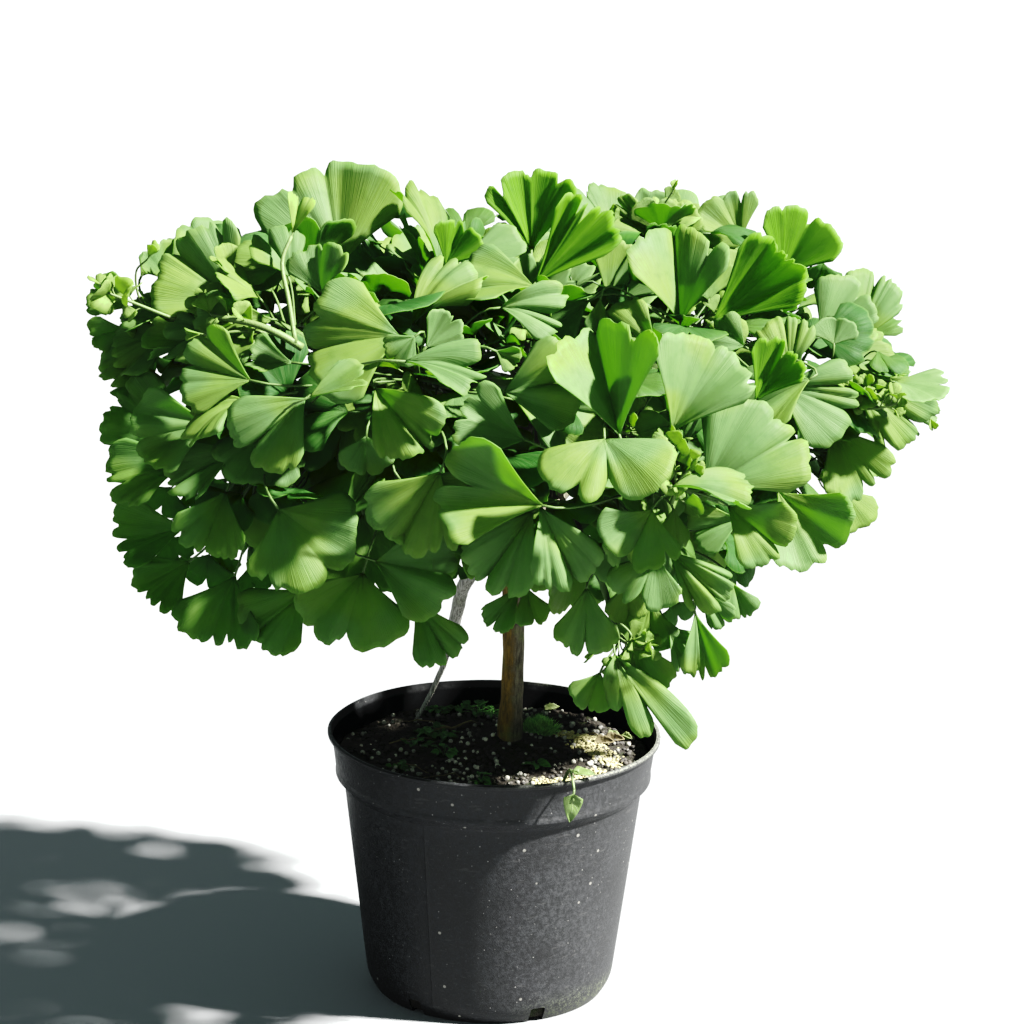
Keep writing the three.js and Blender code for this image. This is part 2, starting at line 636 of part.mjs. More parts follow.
// A twig carries each shoot: it leaves a near limb, keeps clear of every other shoot, and its
// cut end stands square to the shoot's stem.
const taken = [];
function twigMesh(number) {
  const [start, next] = SHOOTS[number].getPoints(4);
  const aim = next.clone().sub(start).normalize();
  const end = start.clone().addScaledVector(aim, -SEAT);
  const neck = end.clone().addScaledVector(aim, -TWIG.neck);
  const cost = (p) => p.distanceTo(neck) * (1.6 - neck.clone().sub(p).normalize().dot(aim));
  const spots = LIMBS.flatMap((limb) => [0.25, 0.4, 0.55, 0.7, 0.84, 0.97].map((t) => limb.getPoint(t)));
  spots.sort((p, q) => cost(p) - cost(q));
  for (const from of spots.filter((p) => !taken.some((q) => q.distanceTo(p) < 1))) {
    const elbow = neck.clone().addScaledVector(aim, -0.45 * from.distanceTo(neck));
    const path = [...curve(from, elbow, neck, 2), end];
    const fat = obstacle(tube(path, TWIG.radius.map((r) => r + 1.5), 3));
    if (STEMS.some((stem, k) => k !== number && crosses(fat, obstacle(stem)))) continue;
    taken.push(from);
    return tube(path, TWIG.radius, 3);
  }
  throw new Error("no clear twig for shoot " + (number + 1));
}

function woodMeshes() {
  const flare = (t) => lerp(TRUNK.radius, TRUNK.baseRadius, Math.exp(-(((t - 0.3) / 0.16) ** 2)));
  const trunkPath = Array.from({ length: 9 }, (_, k) => {
    const t = k / 8;
    const sway = t > TRUNK.free ? 1.4 * Math.sin(6 * (t - TRUNK.free)) : 0;
    return mix([FOOT, 1 - t], [HEAD, t], [V(1, 0, 0), sway]);
  });
  trunkPath[8] = HEAD.clone().addScaledVector(UP, 8);
  return [
    tube(trunkPath, flare, 8),
    stubMesh(),
    ...LIMB_MESHES,
    ...SHOOTS.map((_, number) => twigMesh(number)),
  ];
}

// ---------------------------------------------------------------- the leafy shoots

// A leaf of the list below, hung on the stem whose spot is `root`.
function leafOfList(row, root, shift, roll) {
  const [u, v, depth, angle, reach, half, ...rest] = row;
  const [lean = USUAL.lean, turn = USUAL.turn, fold = USUAL.fold, cleft = USUAL.cleft] = rest;
  const junction = seen(u, v, depth + shift);
  const flat = mix([SHEET_U, Math.cos(rad(angle))], [SHEET_V, Math.sin(rad(angle))]);
  const axis = mix([flat, Math.cos(rad(lean))], [TOWARD, Math.sin(rad(lean))]);
  const face = across(TOWARD, axis).applyAxisAngle(axis, rad(turn));
  const span = root.distanceTo(junction);
  const bend = mix([root, 0.45], [junction, 0.55], [axis, -0.12 * span], [UP, 0.05 * span]);
  const points = reach > 50 ? 9 : 7;
  const rim = margin({ reach: reach * LEAF.listed, half, fold, cup: 0.1, wave: 0.05, cleft, roll, points });
  return { root, bend: points > 7 ? bend : null, junction, axis, face, rim };
}

// The leaf that stands at one place on a shoot, by the crown's rule.
function leafByRule(shoot, number, t, turn, attempt) {
  const roll = dice(31, number, Math.round(t * 1000), attempt);
  const shrink = Math.max(0.66, 0.985 ** attempt);
  const stem = shoot.getTangent(t);
  const root = shoot.getPoint(t);
  const ring = across(UP, stem);
  const out = ring.applyAxisAngle(stem, turn + (attempt ? spread(roll, -0.9, 0.9) : 0));
  const length = spread(roll, ...LEAF.petiole) * (1 - 0.3 * t) * shrink;
  const aim = mix([stem, 0.45], [out, 0.75], [crownNormal(root), 0.35]).normalize();
  const junction = mix([root, 1], [aim, length]);
  const outward = crownNormal(junction);
  const axis = mix(
    [outward, 0.6],
    [aim, 0.5],
    [UP, -0.7 + 0.75 * outward.z],
    [wobble(roll), 0.32],
  ).normalize();
  const toLight = mix([UP, 0.55], [outward, 0.6], [SUN, 0.45], [wobble(roll), 0.4]);
  const face = across(toLight, axis);
  const size = lerp(LEAF.least, LEAF.most, roll()) * (1 - 0.22 * t) * shrink;
  const rim = margin({
    reach: size,
    half: spread(roll, 50, 74),
    fold: spread(roll, -0.1, 0.45),
    cup: spread(roll, -0.15, 0.3),
    wave: spread(roll, 0, 0.07),
    cleft: roll() < 0.55 ? spread(roll, 0.2, 0.5) : 0.06,
    roll,
    points: t < 0.45 ? 5 : 7,
  });
  return { root, junction, axis, face, rim };
}

// A leaf's petiole and blade apart, each grown by `extra` all round, for crossing tests.
function leafBlocks(leaf, extra) {
  const fat = leafMesh(leaf, BLADE.thick + 2 * extra, BLADE.petiole + 2 * extra);
  const { points, faces } = fat.petiole;
  const stalk = { points: fat.points.slice(0, points), faces: fat.faces.slice(0, faces) };
  const fan = { points: fat.points, faces: fat.faces.slice(faces) };
  return { petiole: obstacle(stalk), blade: obstacle(fan) };
}

// Whether a blade stays within the crown's outline and leaves the trunk in view.
function keepsShape(leaf) {
  const side = leaf.face.clone().cross(leaf.axis);
  return leaf.rim.every(([turn, length]) => {
    const [along, aside] = [length * Math.cos(turn), length * Math.sin(turn)];
    const p = mix([leaf.junction, 1], [leaf.axis, along], [side, aside]);
    const byTrunk = Math.hypot(p.x - TRUNK.x, p.y - TRUNK.y) < BARE.radius && p.z < BARE.below;
    return crownShare(p) < 1.06 && !byTrunk;
  });
}

function makeShoots(others) {
  const blocked = others.map(obstacle);
  const stemBlocks = STEMS.map(obstacle);
  const grown = SHOOTS.map(() => []);
  const placed = []; // every leaf so far, as { number, petiole, blade }
  const place = (number, leaf) => {
    const fat = leafBlocks(leaf, BLADE.clear);
    const hits =
      blocked.some((b) => crosses(fat.blade, b) || crosses(fat.petiole, b)) ||
      stemBlocks.some((b, k) => crosses(fat.blade, b) || (k !== number && crosses(fat.petiole, b))) ||
      placed.some(
        (p) =>
          crosses(fat.blade, p.blade) ||
          crosses(fat.petiole, p.blade) ||
          crosses(fat.blade, p.petiole) ||
          (p.number !== number && crosses(fat.petiole, p.petiole)),
      );
    if (hits) return false;
    placed.push({ number, ...leafBlocks(leaf, 0) });
    grown[number].push(leafMesh(leaf));
    return true;
  };

  const spots = SHOOTS.flatMap((shoot, number) =>
    [0.15, 0.3, 0.45, 0.6, 0.75, 0.88, 0.99].map((t) => ({ number, root: shoot.getPoint(t) })),
  );
  const placeListed = (row, k) => {
    for (const shift of [0, 0.04, -0.04, 0.08, -0.08, 0.13, 0.2]) {
      const { junction, axis } = leafOfList(row, V(0, 0, 0), shift, dice(5, k));
      const cost = ({ root }) => {
        const span = junction.clone().sub(root);
        return Math.max(span.length(), 16) * (1.7 - span.normalize().dot(axis));
      };
      const near = [...spots].sort((a, b) => cost(a) - cost(b)).slice(0, 12);
      if (near.some(({ number, root }) => place(number, leafOfList(row, root, shift, dice(5, k)))))
        return;
    }
  };
  LEAVES.forEach(placeListed);

  for (let k = 0; k < SHOOT.leaves; k++)
    SHOOTS.forEach((shoot, number) => {
      const t = lerp(0.1, number < NAMED_SHOOTS.length ? 0.7 : 0.98, k / (SHOOT.leaves - 1));
      const turn = number + k * rad(GOLDEN);
      let attempt = 0;
      while (attempt < LEAF.tries) {
        const leaf = leafByRule(shoot, number, t, turn, attempt);
        if (keepsShape(leaf) && place(number, leaf)) break;
        attempt++;
      }
    });
  return SHOOTS.map((_, n) => grown[n].reduce((sum, m) => sum.add(solidOf(m)), solidOf(STEMS[n])));
}

// ---------------------------------------------------------------- small neighbours

// The dead grey leader leans from a stub on the trunk down to the soil, standing in a hole there.
const DEAD = {
  radius: [5.2, 1.3],
  path: [
    [-14, 276, 14],
    [-22, 260, 24],
    [-29, 228, 37],
    [-34, 210, 44],
    [-43, 190, 53],
    [-52, 174, 60],
    [-56, 163, 63],
  ],
};
const deadPath = () => DEAD.path.map(([u, v, y]) => seenAt(u, v, y));

// The trunk's own stub, cut square to the dead leader.
function stubMesh() {
  const [top, next] = deadPath();
  const aim = next.clone().sub(top).normalize();
  const end = top.clone().addScaledVector(aim, -SEAT);
  const start = V(TRUNK.x, TRUNK.y, end.z + 12);
  return tube([start, end.clone().addScaledVector(aim, -5), end], [5.6, 5.6], 6);
}

// A cushion of moss lies on the soil beside the trunk.
const MOSS = { u: 31, v: 174, y: 40, radius: 12, height: 5, sides: 10 };
function makeMoss(soil) {
  const middle = seenAt(MOSS.u, MOSS.v, MOSS.y);
  middle.z = soilHeight(middle.x, middle.y);
  const dome = new THREE.SphereGeometry(MOSS.radius, MOSS.sides, 6);
  dome.rotateX(Math.PI / 2).scale(1, 0.85, MOSS.height / MOSS.radius);
  const spot = dome.attributes.position;
  for (let k = 0; k < spot.count; k++) {
    const swell = 1 + 0.1 * Math.sin(0.9 * spot.getX(k)) * Math.cos(1.1 * spot.getY(k));
    spot.setXYZ(k, spot.getX(k) * swell, spot.getY(k) * swell, spot.getZ(k) * swell);
  }
  return solidOfGeometry(dome.translate(middle.x, middle.y, middle.z)).subtract(soil);
}

// A seedling climbs over the lip and hangs down outside, with two heart-shaped leaves.
const SEEDLING = {
  stem: 1.1,
  thick: 0.8,
  petiole: 1.2,
  path: [
    [42, -66, 150],
    [45, -77, 167],
    [49, -88, 180.5],
    [50.5, -101, 181.5],
    [52, -109.5, 175],
  ],
  leaves: [
    { from: 2, to: [54, -92, 181.3], aim: [1, -0.25, 0.05], face: [0, -0.25, 1], reach: 13 },
    { from: 4, to: [51.5, -112.5, 169.5], aim: [-0.1, -0.12, -1], face: [0.1, -1, 0.12], reach: 16 },
  ],
};
const HEART = [[-1.7, 0.42], [-1, 0.56], [-0.42, 0.68], [0, 1], [0.42, 0.68], [1, 0.56], [1.7, 0.42]];

function makeSeedling() {
  const path = SEEDLING.path.map((p) => V(...p));
  const stem = solidOf(tube(path, [SEEDLING.stem, SEEDLING.stem], 5));
  return SEEDLING.leaves.reduce((sum, { from, to, aim, face, reach }) => {
    const axis = V(...aim).normalize();
    const rim = HEART.map(([turn, share]) => [turn, share * reach, 0]);
    const leaf = { root: path[from], junction: V(...to), axis, face: across(V(...face), axis), rim };
    return sum.add(solidOf(leafMesh(leaf, SEEDLING.thick, SEEDLING.petiole)));
  }, stem);
}

// ---------------------------------------------------------------- the object

const group = new THREE.Group();
function add(name, solid, colour, roughness = 0.8) {
  const whole = wholeOf(solid);
  const material = new THREE.MeshStandardMaterial({ color: colour, roughness, metalness: 0 });
  const mesh = new THREE.Mesh(geometryOf(whole), material);
  mesh.name = name;
  group.add(mesh);
}

// The holes that stems stand in are a little wider than the stems.
const HOLE = {
  trunk: TRUNK.baseRadius + 1.5,
  seedling: SEEDLING.stem + 0.6,
  dead: DEAD.radius[1] + 1.3,
};
const woods = woodMeshes();
const dead = tube(deadPath(), DEAD.radius, 7);
const holeFor = (path, radius) => solidOf(tube(path, [radius, radius], 10));
const [seedFoot, seedKnee] = SEEDLING.path.map((p) => V(...p));
const [deadKnee, deadFoot] = deadPath().slice(-2);
const below = (point, depth) => point.clone().addScaledVector(UP, -depth);
const soil = makeSoil()
  .subtract(holeFor([below(FOOT, SEAT), FOOT.clone().setZ(SOIL.level + 40)], HOLE.trunk))
  .subtract(holeFor([below(seedFoot, SEAT), seedKnee], HOLE.seedling))
  .subtract(holeFor([below(deadFoot, 1), deadKnee], HOLE.dead));
add("pot", makePot(), 0x2b2c2f, 0.6);
add("soil", soil, 0x17130f, 1);
add("trunk", woods.map(solidOf).reduce((sum, part) => sum.add(part)), 0x5a4a36, 0.9);
add("dead_branch", solidOf(dead), 0x77736b, 0.95);
add("moss_clump", makeMoss(makeSoil(SEAT)), 0x24401c, 1);
add("seedling", makeSeedling(), 0x9ccf6a, 0.6);
makeShoots([...woods, dead]).forEach((shoot, n) =>
  add("shoot_" + String(n + 1).padStart(2, "0"), shoot, 0x6fa845, 0.5),
);

export default group;
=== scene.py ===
# %% [markdown]
# # A young ginkgo in a nursery container
#
# This lesson dresses a plain CAD model of a small potted ginkgo. The CAD model fixes every size and
# place: the container, the soil, the wood, and 28 leafy shoots whose fan blades are only a few flat
# triangles each. Here each leaf is read back from its shoot and grown again as a thin, pleated,
# veined blade on a round stalk, and every other piece gets the surface that the real one has.

# %% Load the frame
from math import cos, exp, hypot, inf, pi, radians, sin, sqrt

import bmesh
import bpy
import numpy as np
from mathutils import Matrix, Vector, noise
from mathutils.bvhtree import BVHTree
from numpy.linalg import norm


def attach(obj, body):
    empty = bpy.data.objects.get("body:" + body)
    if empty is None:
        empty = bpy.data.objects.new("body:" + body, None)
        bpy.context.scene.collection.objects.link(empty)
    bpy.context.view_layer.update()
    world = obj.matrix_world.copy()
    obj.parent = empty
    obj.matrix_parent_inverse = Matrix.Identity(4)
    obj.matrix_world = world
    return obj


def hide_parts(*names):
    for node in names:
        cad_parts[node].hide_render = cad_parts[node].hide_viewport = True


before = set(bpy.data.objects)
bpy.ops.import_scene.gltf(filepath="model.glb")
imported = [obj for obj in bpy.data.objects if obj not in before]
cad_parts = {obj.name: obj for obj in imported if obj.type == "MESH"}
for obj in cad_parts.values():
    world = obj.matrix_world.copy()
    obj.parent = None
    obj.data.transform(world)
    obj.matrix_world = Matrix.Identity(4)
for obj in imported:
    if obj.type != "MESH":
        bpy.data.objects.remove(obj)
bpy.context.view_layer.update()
MM = 0.001  # the lesson thinks in millimetres, and Blender in metres

# %% [markdown]
# ## The camera
#
# The viewer stands 2.4 m in front of the plant and looks down by 15 degrees. A long lens from there
# keeps the container's sides nearly parallel. The camera is rolled by a little over a degree, because
# the trunk leans slightly to the right. Its place could be set by hand, but working it out from a
# pitch, a distance and a point to look at keeps the numbers few and their meaning plain.

# %% Camera
PITCH = radians(15)
ROLL = radians(1.2)
DISTANCE = 2400
FRAME_WIDTH = 694  # width of the view at that distance
AIM_RIGHT, AIM_UP = 15.5, 316
SENSOR = 36

toward = np.array([0, -cos(PITCH), sin(PITCH)])
level, rise = np.array([1.0, 0, 0]), np.array([0, sin(PITCH), cos(PITCH)])
right = level * cos(ROLL) + np.cross(toward, level) * sin(ROLL)
up = rise * cos(ROLL) + np.cross(toward, rise) * sin(ROLL)
eye = right * AIM_RIGHT + up * AIM_UP + toward * DISTANCE


def add_object(name, data):
    """A new object in the scene."""
    thing = bpy.data.objects.new(name, data)
    bpy.context.scene.collection.objects.link(thing)
    return thing


lens = bpy.data.cameras.new("camera")
lens.sensor_width = SENSOR
lens.lens = SENSOR * DISTANCE / FRAME_WIDTH
camera = add_object("camera", lens)
camera.matrix_world = Matrix.Translation(eye * MM) @ Matrix(np.array([right, up, toward]).T).to_4x4()
bpy.context.scene.camera = camera
print("camera at", [round(c) for c in eye], "mm, lens", round(lens.lens, 1), "mm")

# %% [markdown]
# ## Materials as short recipes
#
# A material is a small graph of nodes. Drawing it in the editor is pleasant once, but text is easier
# to read again and to change. The helper below lets a recipe say what it mixes: each call makes one
# node, sets its plain values and wires the rest, and gives back the node's result. Three numbers in
# brackets are a colour. The two numbers after a noise are the levels between which it comes in.

# %% A helper for node materials
class Recipe:
    """A node material written as calls. Sockets and plain values can be mixed freely."""

    def __init__(self, name):
        self.material = bpy.data.materials.new(name)
        self.material.use_nodes = True
        self.tree = self.material.node_tree
        self.tree.nodes.clear()

    def put(self, socket, value):
        if isinstance(value, bpy.types.NodeSocket):
            self.tree.links.new(value, socket)
        elif isinstance(value, tuple) and len(value) == 3 and socket.type == "RGBA":
            socket.default_value = (*value, 1)
        else:
            socket.default_value = value

    def node(self, kind, *values, out=0, **named):
        """A node's result. Values fill its sockets in order, and a name is a socket's or, in lower
        case, a setting's."""
        node = self.tree.nodes.new("ShaderNode" + kind)
        for name, value in named.items():
            if name.islower():
                setattr(node, name, value)
            else:
                self.put(node.inputs[name.replace("_", " ")], value)
        for socket, value in zip(node.inputs, values):
            self.put(socket, value)
        return node.outputs[out]

    def parts(self, kind, value):
        """All three results of a node that takes a colour or a vector apart."""
        return self.node("Separate" + kind, value, out=slice(None))

    def math(self, operation, a, b=0.0):
        return self.node("Math", a, b, operation=operation)

    def plus(self, a, b):
        return self.math("ADD", a, b)

    def times(self, a, b):
        return self.math("MULTIPLY", a, b)

    def fade(self, value, low, high, to_low=0.0, to_high=1.0):
        """Runs from to_low to to_high, smoothly, as value runs from low to high."""
        return self.node("MapRange", value, low, high, to_low, to_high, interpolation_type="SMOOTHSTEP")

    def blend(self, share, a, b):
        """Colour a with a share of colour b in it."""
        node = self.tree.nodes.new("ShaderNodeMix")
        node.data_type = "RGBA"
        for socket, value in zip((node.inputs[0], node.inputs[6], node.inputs[7]), (share, a, b)):
            self.put(socket, value)
        return node.outputs[2]

    def layers(self, colour, *others):
        """A colour with others laid over it in turn, each by its own share."""
        for share, other in others:
            colour = self.blend(share, colour, other)
        return colour

    def tint(self):
        """The four numbers that every point carries."""
        colour, _, _, fourth = self.node("Attribute", out=slice(None), attribute_name="tint")
        return *self.parts("Color", colour), fourth

    def chart(self):
        return self.node("UVMap", uv_map="chart")

    def place(self, stretch=(1, 1, 1)):
        """Object coordinates in millimetres, divided by `stretch` along X, Y and Z."""
        scale = tuple(1 / (MM * s) for s in stretch)
        return self.node("Mapping", Vector=self.node("TexCoord", out=3), Scale=scale)

    def clouds(self, place, scale=1.0, detail=2.0, roughness=0.5):
        return self.node("TexNoise", Vector=place, Scale=scale, Detail=detail, Roughness=roughness)

    def specks(self, size, detail=3.0, roughness=0.6):
        """Cloudy noise whose clouds are about `size` millimetres across."""
        return self.clouds(self.place(), 1 / size, detail, roughness)

    def cells(self, place, size=1.0):
        """The distance to the nearest of some scattered points that are about `size` apart."""
        return self.node("TexVoronoi", Vector=place, Scale=1 / size, Randomness=1.0)

    def bump(self, height, depth):
        return self.node("Bump", Height=height, Distance=depth * MM, Strength=1.0)

    def surface(self, shader):
        output = self.tree.nodes.new("ShaderNodeOutputMaterial")
        self.tree.links.new(shader, output.inputs["Surface"])
        return self.material

    def coat(self, **inputs):
        """One principled surface, and the finished material."""
        return self.surface(self.node("BsdfPrincipled", **inputs))


# %% [markdown]
# ## Light
#
# One strong key light comes from the upper right and a little from the front. It is a sun lamp, so
# the floor is lit evenly out to the horizon, and its disc is wide enough to soften the shadows a
# little. The pale sky fills the shade, weak enough that the leaves deep in the crown stay dark. A
# faint fill from the front reaches in under the crown, as light does that the ground throws back.

# %% Key light, fill and sky
LAMP_AWAY = 3  # metres; a sun lamp shines the same from any distance


def sky_way(bearing, height):
    """The way from the plant to a bearing (0 front, 90 right) and a height in the sky, in degrees."""
    b, h = radians(bearing), radians(height)
    return Vector((sin(b) * cos(h), -cos(b) * cos(h), sin(h)))


def add_sun(name, bearing, height, energy, disc, colour):
    """A sun lamp whose light comes from a bearing and a height, with a disc that wide in degrees."""
    light = bpy.data.lights.new(name, "SUN")
    light.energy, light.angle, light.color = energy, radians(disc), colour
    lamp = add_object(name, light)
    lamp.location = sky_way(bearing, height) * LAMP_AWAY
    lamp.rotation_euler = sky_way(bearing, height).to_track_quat("Z", "Y").to_euler()


SUN_BEARING, SUN_HEIGHT = 75, 47
add_sun("key", SUN_BEARING, SUN_HEIGHT, 34, 3, (1, 0.97, 0.91))
add_sun("fill", -10, 19, 0.4, 30, (0.92, 1, 0.96))
sky = bpy.data.worlds.new("sky")
sky.use_nodes = True
sky_values = sky.node_tree.nodes["Background"].inputs
sky_values["Color"].default_value = (0.78, 0.95, 0.93, 1)
sky_values["Strength"].default_value = 0.38
bpy.context.scene.world = sky

# %% [markdown]
# ## The picture's tone
#
# Hard sunlight spans more than a picture can show. A curve like a film's, the same for all three
# colours, deepens the shade and holds back the lights. Weaker light would do the second but not the
# first. The curve goes on in a straight line past its end, so that the bright floor turns white.

# %% The film's curve
# light in the scene, and how bright the picture shows it
FILM = [
    (0.003, 0.003), (0.01, 0.0052), (0.022, 0.0125), (0.04, 0.03), (0.06, 0.06), (0.085, 0.102),
    (0.12, 0.168), (0.2, 0.285), (0.32, 0.435), (0.46, 0.575), (0.65, 0.71), (0.82, 0.8), (0.94, 0.865),
]
FULL_LIGHT_SHOWN = 0.93
view = bpy.context.scene.view_settings
view.view_transform, view.look, view.use_curve_mapping = "Standard", "None", True
view.curve_mapping.extend, view.curve_mapping.use_clip = "EXTRAPOLATED", False
film = view.curve_mapping.curves[3]
film.points[1].location = (1, FULL_LIGHT_SHOWN)
for light, shown in FILM:
    film.points.new(light, shown)
for point in film.points:
    point.handle_type = "AUTO_CLAMPED"
view.curve_mapping.update()
print("points on the film's curve:", len(film.points))

# %% [markdown]
# ## The floor
#
# The plant stands on a plain pale floor that reaches to the horizon. It belongs to the stage, not to
# the plant. One large sheet is enough, with very faint clouds so that it isn't one dead tone.

# %% Floor
def floor_finish():
    r = Recipe("floor_finish")
    shades = r.blend(r.specks(400), (0.141, 0.148, 0.157), (0.147, 0.154, 0.163))
    return r.coat(Base_Color=shades, Roughness=0.8)


FLOOR_REACH = 80  # metres to each side
floor_corners = [(x * FLOOR_REACH, y * FLOOR_REACH, 0) for x, y in ((-1, -1), (1, -1), (1, 1), (-1, 1))]
floor_mesh = bpy.data.meshes.new("floor")
floor_mesh.from_pydata(floor_corners, [], [(0, 1, 2, 3)])
floor_mesh.materials.append(floor_finish())
floor = add_object("floor", floor_mesh)
print("the floor reaches", FLOOR_REACH, "m to each side")

# %% [markdown]
# ## One helper for every mesh
#
# Leaves, stalks, grains and moss are all made the same way: points and faces are gathered in lists,
# and one object is made of them at the end. Building each leaf as its own object and joining them
# afterwards would work too, but it is far slower for hundreds of leaves. With the points goes a tint
# of four numbers that the materials read: the tone, a share of the way out or aside, the youth, and
# 1 on a blade's upper side. Blades also get a chart, a map that says where on the leaf a point lies.

# %% Vectors and faces
def unit(v):
    """The same way or ways, each one long."""
    v = np.asarray(v, float)
    return v / np.maximum(norm(v, axis=-1, keepdims=True), 1e-9)


def ring_faces(rows, around, flip=False):
    """Quads between closed rings of points."""
    quads = []
    for start in range(0, (rows - 1) * around, around):
        for j in range(around):
            a, b = start + j, start + (j + 1) % around
            quads.append((a, a + around, b + around, b) if flip else (a, b, b + around, a + around))
    return quads


def end_caps(rows, around, flip=False):
    """One face over the first ring and one over the last."""
    first, last = range(around), range((rows - 1) * around, rows * around)
    return [tuple(first), tuple(last[::-1])] if flip else [tuple(first[::-1]), tuple(last)]


# %% A sculptor for meshes
class Sculpture:
    """Gathers shapes in millimetres. `tint` is four numbers a point, `chart` two."""

    def __init__(self):
        self.points, self.tints, self.charts = [], [], []
        self.faces, self.slots = [], []
        self.count = 0

    def add(self, points, faces, tint=(0, 0, 0, 0), chart=None, slot=0):
        points = np.asarray(points, float)
        self.points.append(points)
        self.tints.append(np.broadcast_to(np.asarray(tint, float), (len(points), 4)))
        self.charts.append(np.zeros((len(points), 2)) if chart is None else chart)
        self.faces += [tuple(i + self.count for i in face) for face in faces]
        self.slots += [slot] * len(faces)
        self.count += len(points)

    def tube(self, path, radii, sides, tint, slot=0):
        """A round stalk along a path, with closed ends."""
        path = np.asarray(path, float)
        radii = np.broadcast_to(np.asarray(radii, float), len(path))
        ways = unit(np.gradient(path, axis=0))
        side = unit(np.cross(ways[0], (0.31, 0.52, 0.79)))
        turn = np.linspace(0, 2 * pi, sides, endpoint=False)
        rings = []
        for spot, way, radius in zip(path, ways, radii):
            side = unit(side - way * side.dot(way))
            round_it = np.outer(np.cos(turn), side) + np.outer(np.sin(turn), np.cross(way, side))
            rings.append(spot + radius * round_it)
        faces = ring_faces(len(path), sides) + end_caps(len(path), sides)
        self.add(np.concatenate(rings), faces, tint, slot=slot)

    def object(self, name, *materials):
        mesh = bpy.data.meshes.new(name)
        mesh.from_pydata(np.concatenate(self.points) * MM, [], self.faces)
        tint = mesh.attributes.new("tint", "FLOAT_COLOR", "POINT")
        tint.data.foreach_set("color", np.concatenate(self.tints).astype(np.float32).ravel())
        corners = np.empty(len(mesh.loops), int)
        mesh.loops.foreach_get("vertex_index", corners)
        chart = mesh.uv_layers.new(name="chart")
        chart.data.foreach_set("uv", np.concatenate(self.charts)[corners].astype(np.float32).ravel())
        mesh.polygons.foreach_set("material_index", self.slots)
        mesh.polygons.foreach_set("use_smooth", [True] * len(mesh.polygons))
        for material in materials:
            mesh.materials.append(material)
        mesh.update()
        return add_object(name, mesh)


def settle(piece, slot, *nodes):
    """Every piece rides on the one body and may stand for CAD nodes, which are then hidden. `slot` is not
    used.
    """
    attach(piece, "root")
    if nodes:
        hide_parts(*nodes)
    print(piece.name, len(piece.data.polygons), "faces")

# %% [markdown]
# ## Reading the leaves back from the shoots
#
# Each shoot of the CAD model is one closed mesh: a three-sided stem, three-sided petioles and thin
# blades. The fine leaves have to grow in exactly those places, so they are measured from the mesh.
# A list of leaves typed in here would do too, but it could drift away from the model. The mesh
# gives itself away by its sizes: only a blade's rim has edges as long as the blade is thick, and
# the blade's base is a triangle of one known size.

# %% The corner points of one node
BLADE_THICK = 1.0  # of the CAD blades, which is how a rim is recognised
PETIOLE_SIDE = 1.8  # of the CAD petioles' triangle
STEM_RADII, STEM_RINGS = (2.5, 2.0), 5  # of the CAD stems, first and last, and their number
STEM_POINTS = 41  # on the line that is worked out for each stem
STRAIGHT_UP_TO = 7  # a CAD blade with no more rays than this has a petiole without a bend
ARCH = np.array([0, 0, 0.2])  # how far a stem rises above a straight line, by its length
CLOSE = 0.004  # how exactly a length has to fit


def corners_of(node):
    """The node's corner points in millimetres, doubles joined, and each point's neighbours."""
    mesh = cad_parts[node].data
    mesh.calc_loop_triangles()
    spots = np.empty(len(mesh.vertices) * 3)
    mesh.vertices.foreach_get("co", spots)
    triangles = np.empty(len(mesh.loop_triangles) * 3, int)
    mesh.loop_triangles.foreach_get("vertices", triangles)
    spots, joined = np.unique(np.round(spots.reshape(-1, 3) / MM, 3), axis=0, return_inverse=True)
    neighbours = [set() for _ in spots]
    for a, b, c in joined.ravel()[triangles].reshape(-1, 3):
        neighbours[a] |= {b, c}
        neighbours[b] |= {a, c}
        neighbours[c] |= {a, b}
    return spots, neighbours


def islands(members, neighbours):
    """The groups into which `members` fall."""
    left, groups = set(members), []
    while left:
        group, front = set(), {left.pop()}
        while front:
            group |= front
            front = {n for v in front for n in neighbours[v]} & left
            left -= front
        groups.append(group)
    return groups


# %% The stem's line
def equal_triples(spots, side):
    """Centres of all sets of three points that are `side` apart from each other."""
    apart = norm(spots[:, None] - spots[None], axis=2)
    near = np.abs(apart - side) < CLOSE
    found = []
    for a, b in np.argwhere(np.triu(near)):
        for c in np.flatnonzero(near[a] & near[b]):
            if c > b:
                found.append(spots[[a, b, c]].mean(0))
    return found


def arch(start, tip):
    """The line of a shoot: a shallow arch from its start to its tip."""
    t = np.linspace(0, 1, STEM_POINTS)[:, None]
    return start + (tip - start) * t + ARCH * t * (1 - t) * norm(tip - start)


def arch_through(t1, spot1, t2, spot2):
    """The arch that passes through two spots, each at a known share of its way."""
    length = 0
    for _ in range(6):
        low, high = (spot - ARCH * t * (1 - t) * length for t, spot in ((t1, spot1), (t2, spot2)))
        whole = (high - low) / (t2 - t1)
        length = norm(whole)
    return arch(low - whole * t1, low + whole * (1 - t1))


def stem_line(spots):
    """The arch on whose five rings the most points lie. A petiole's root may hide a ring."""
    radii = np.linspace(*STEM_RADII, STEM_RINGS)
    rings = [
        (k / (STEM_RINGS - 1), centre)
        for k in range(STEM_RINGS)
        for centre in equal_triples(spots, radii[k] * sqrt(3))
    ]
    best = (0, None)
    for t1, spot1 in rings:
        for t2, spot2 in rings:
            if t1 >= t2:
                continue
            line = arch_through(t1, spot1, t2, spot2)
            on_rings = line[None, :: STEM_POINTS // (STEM_RINGS - 1)]
            away = norm(spots[:, None] - on_rings, axis=2)
            score = np.sum(np.abs(away - radii) < 5 * CLOSE)
            if score > best[0]:
                best = (score, line)
    return best[1]


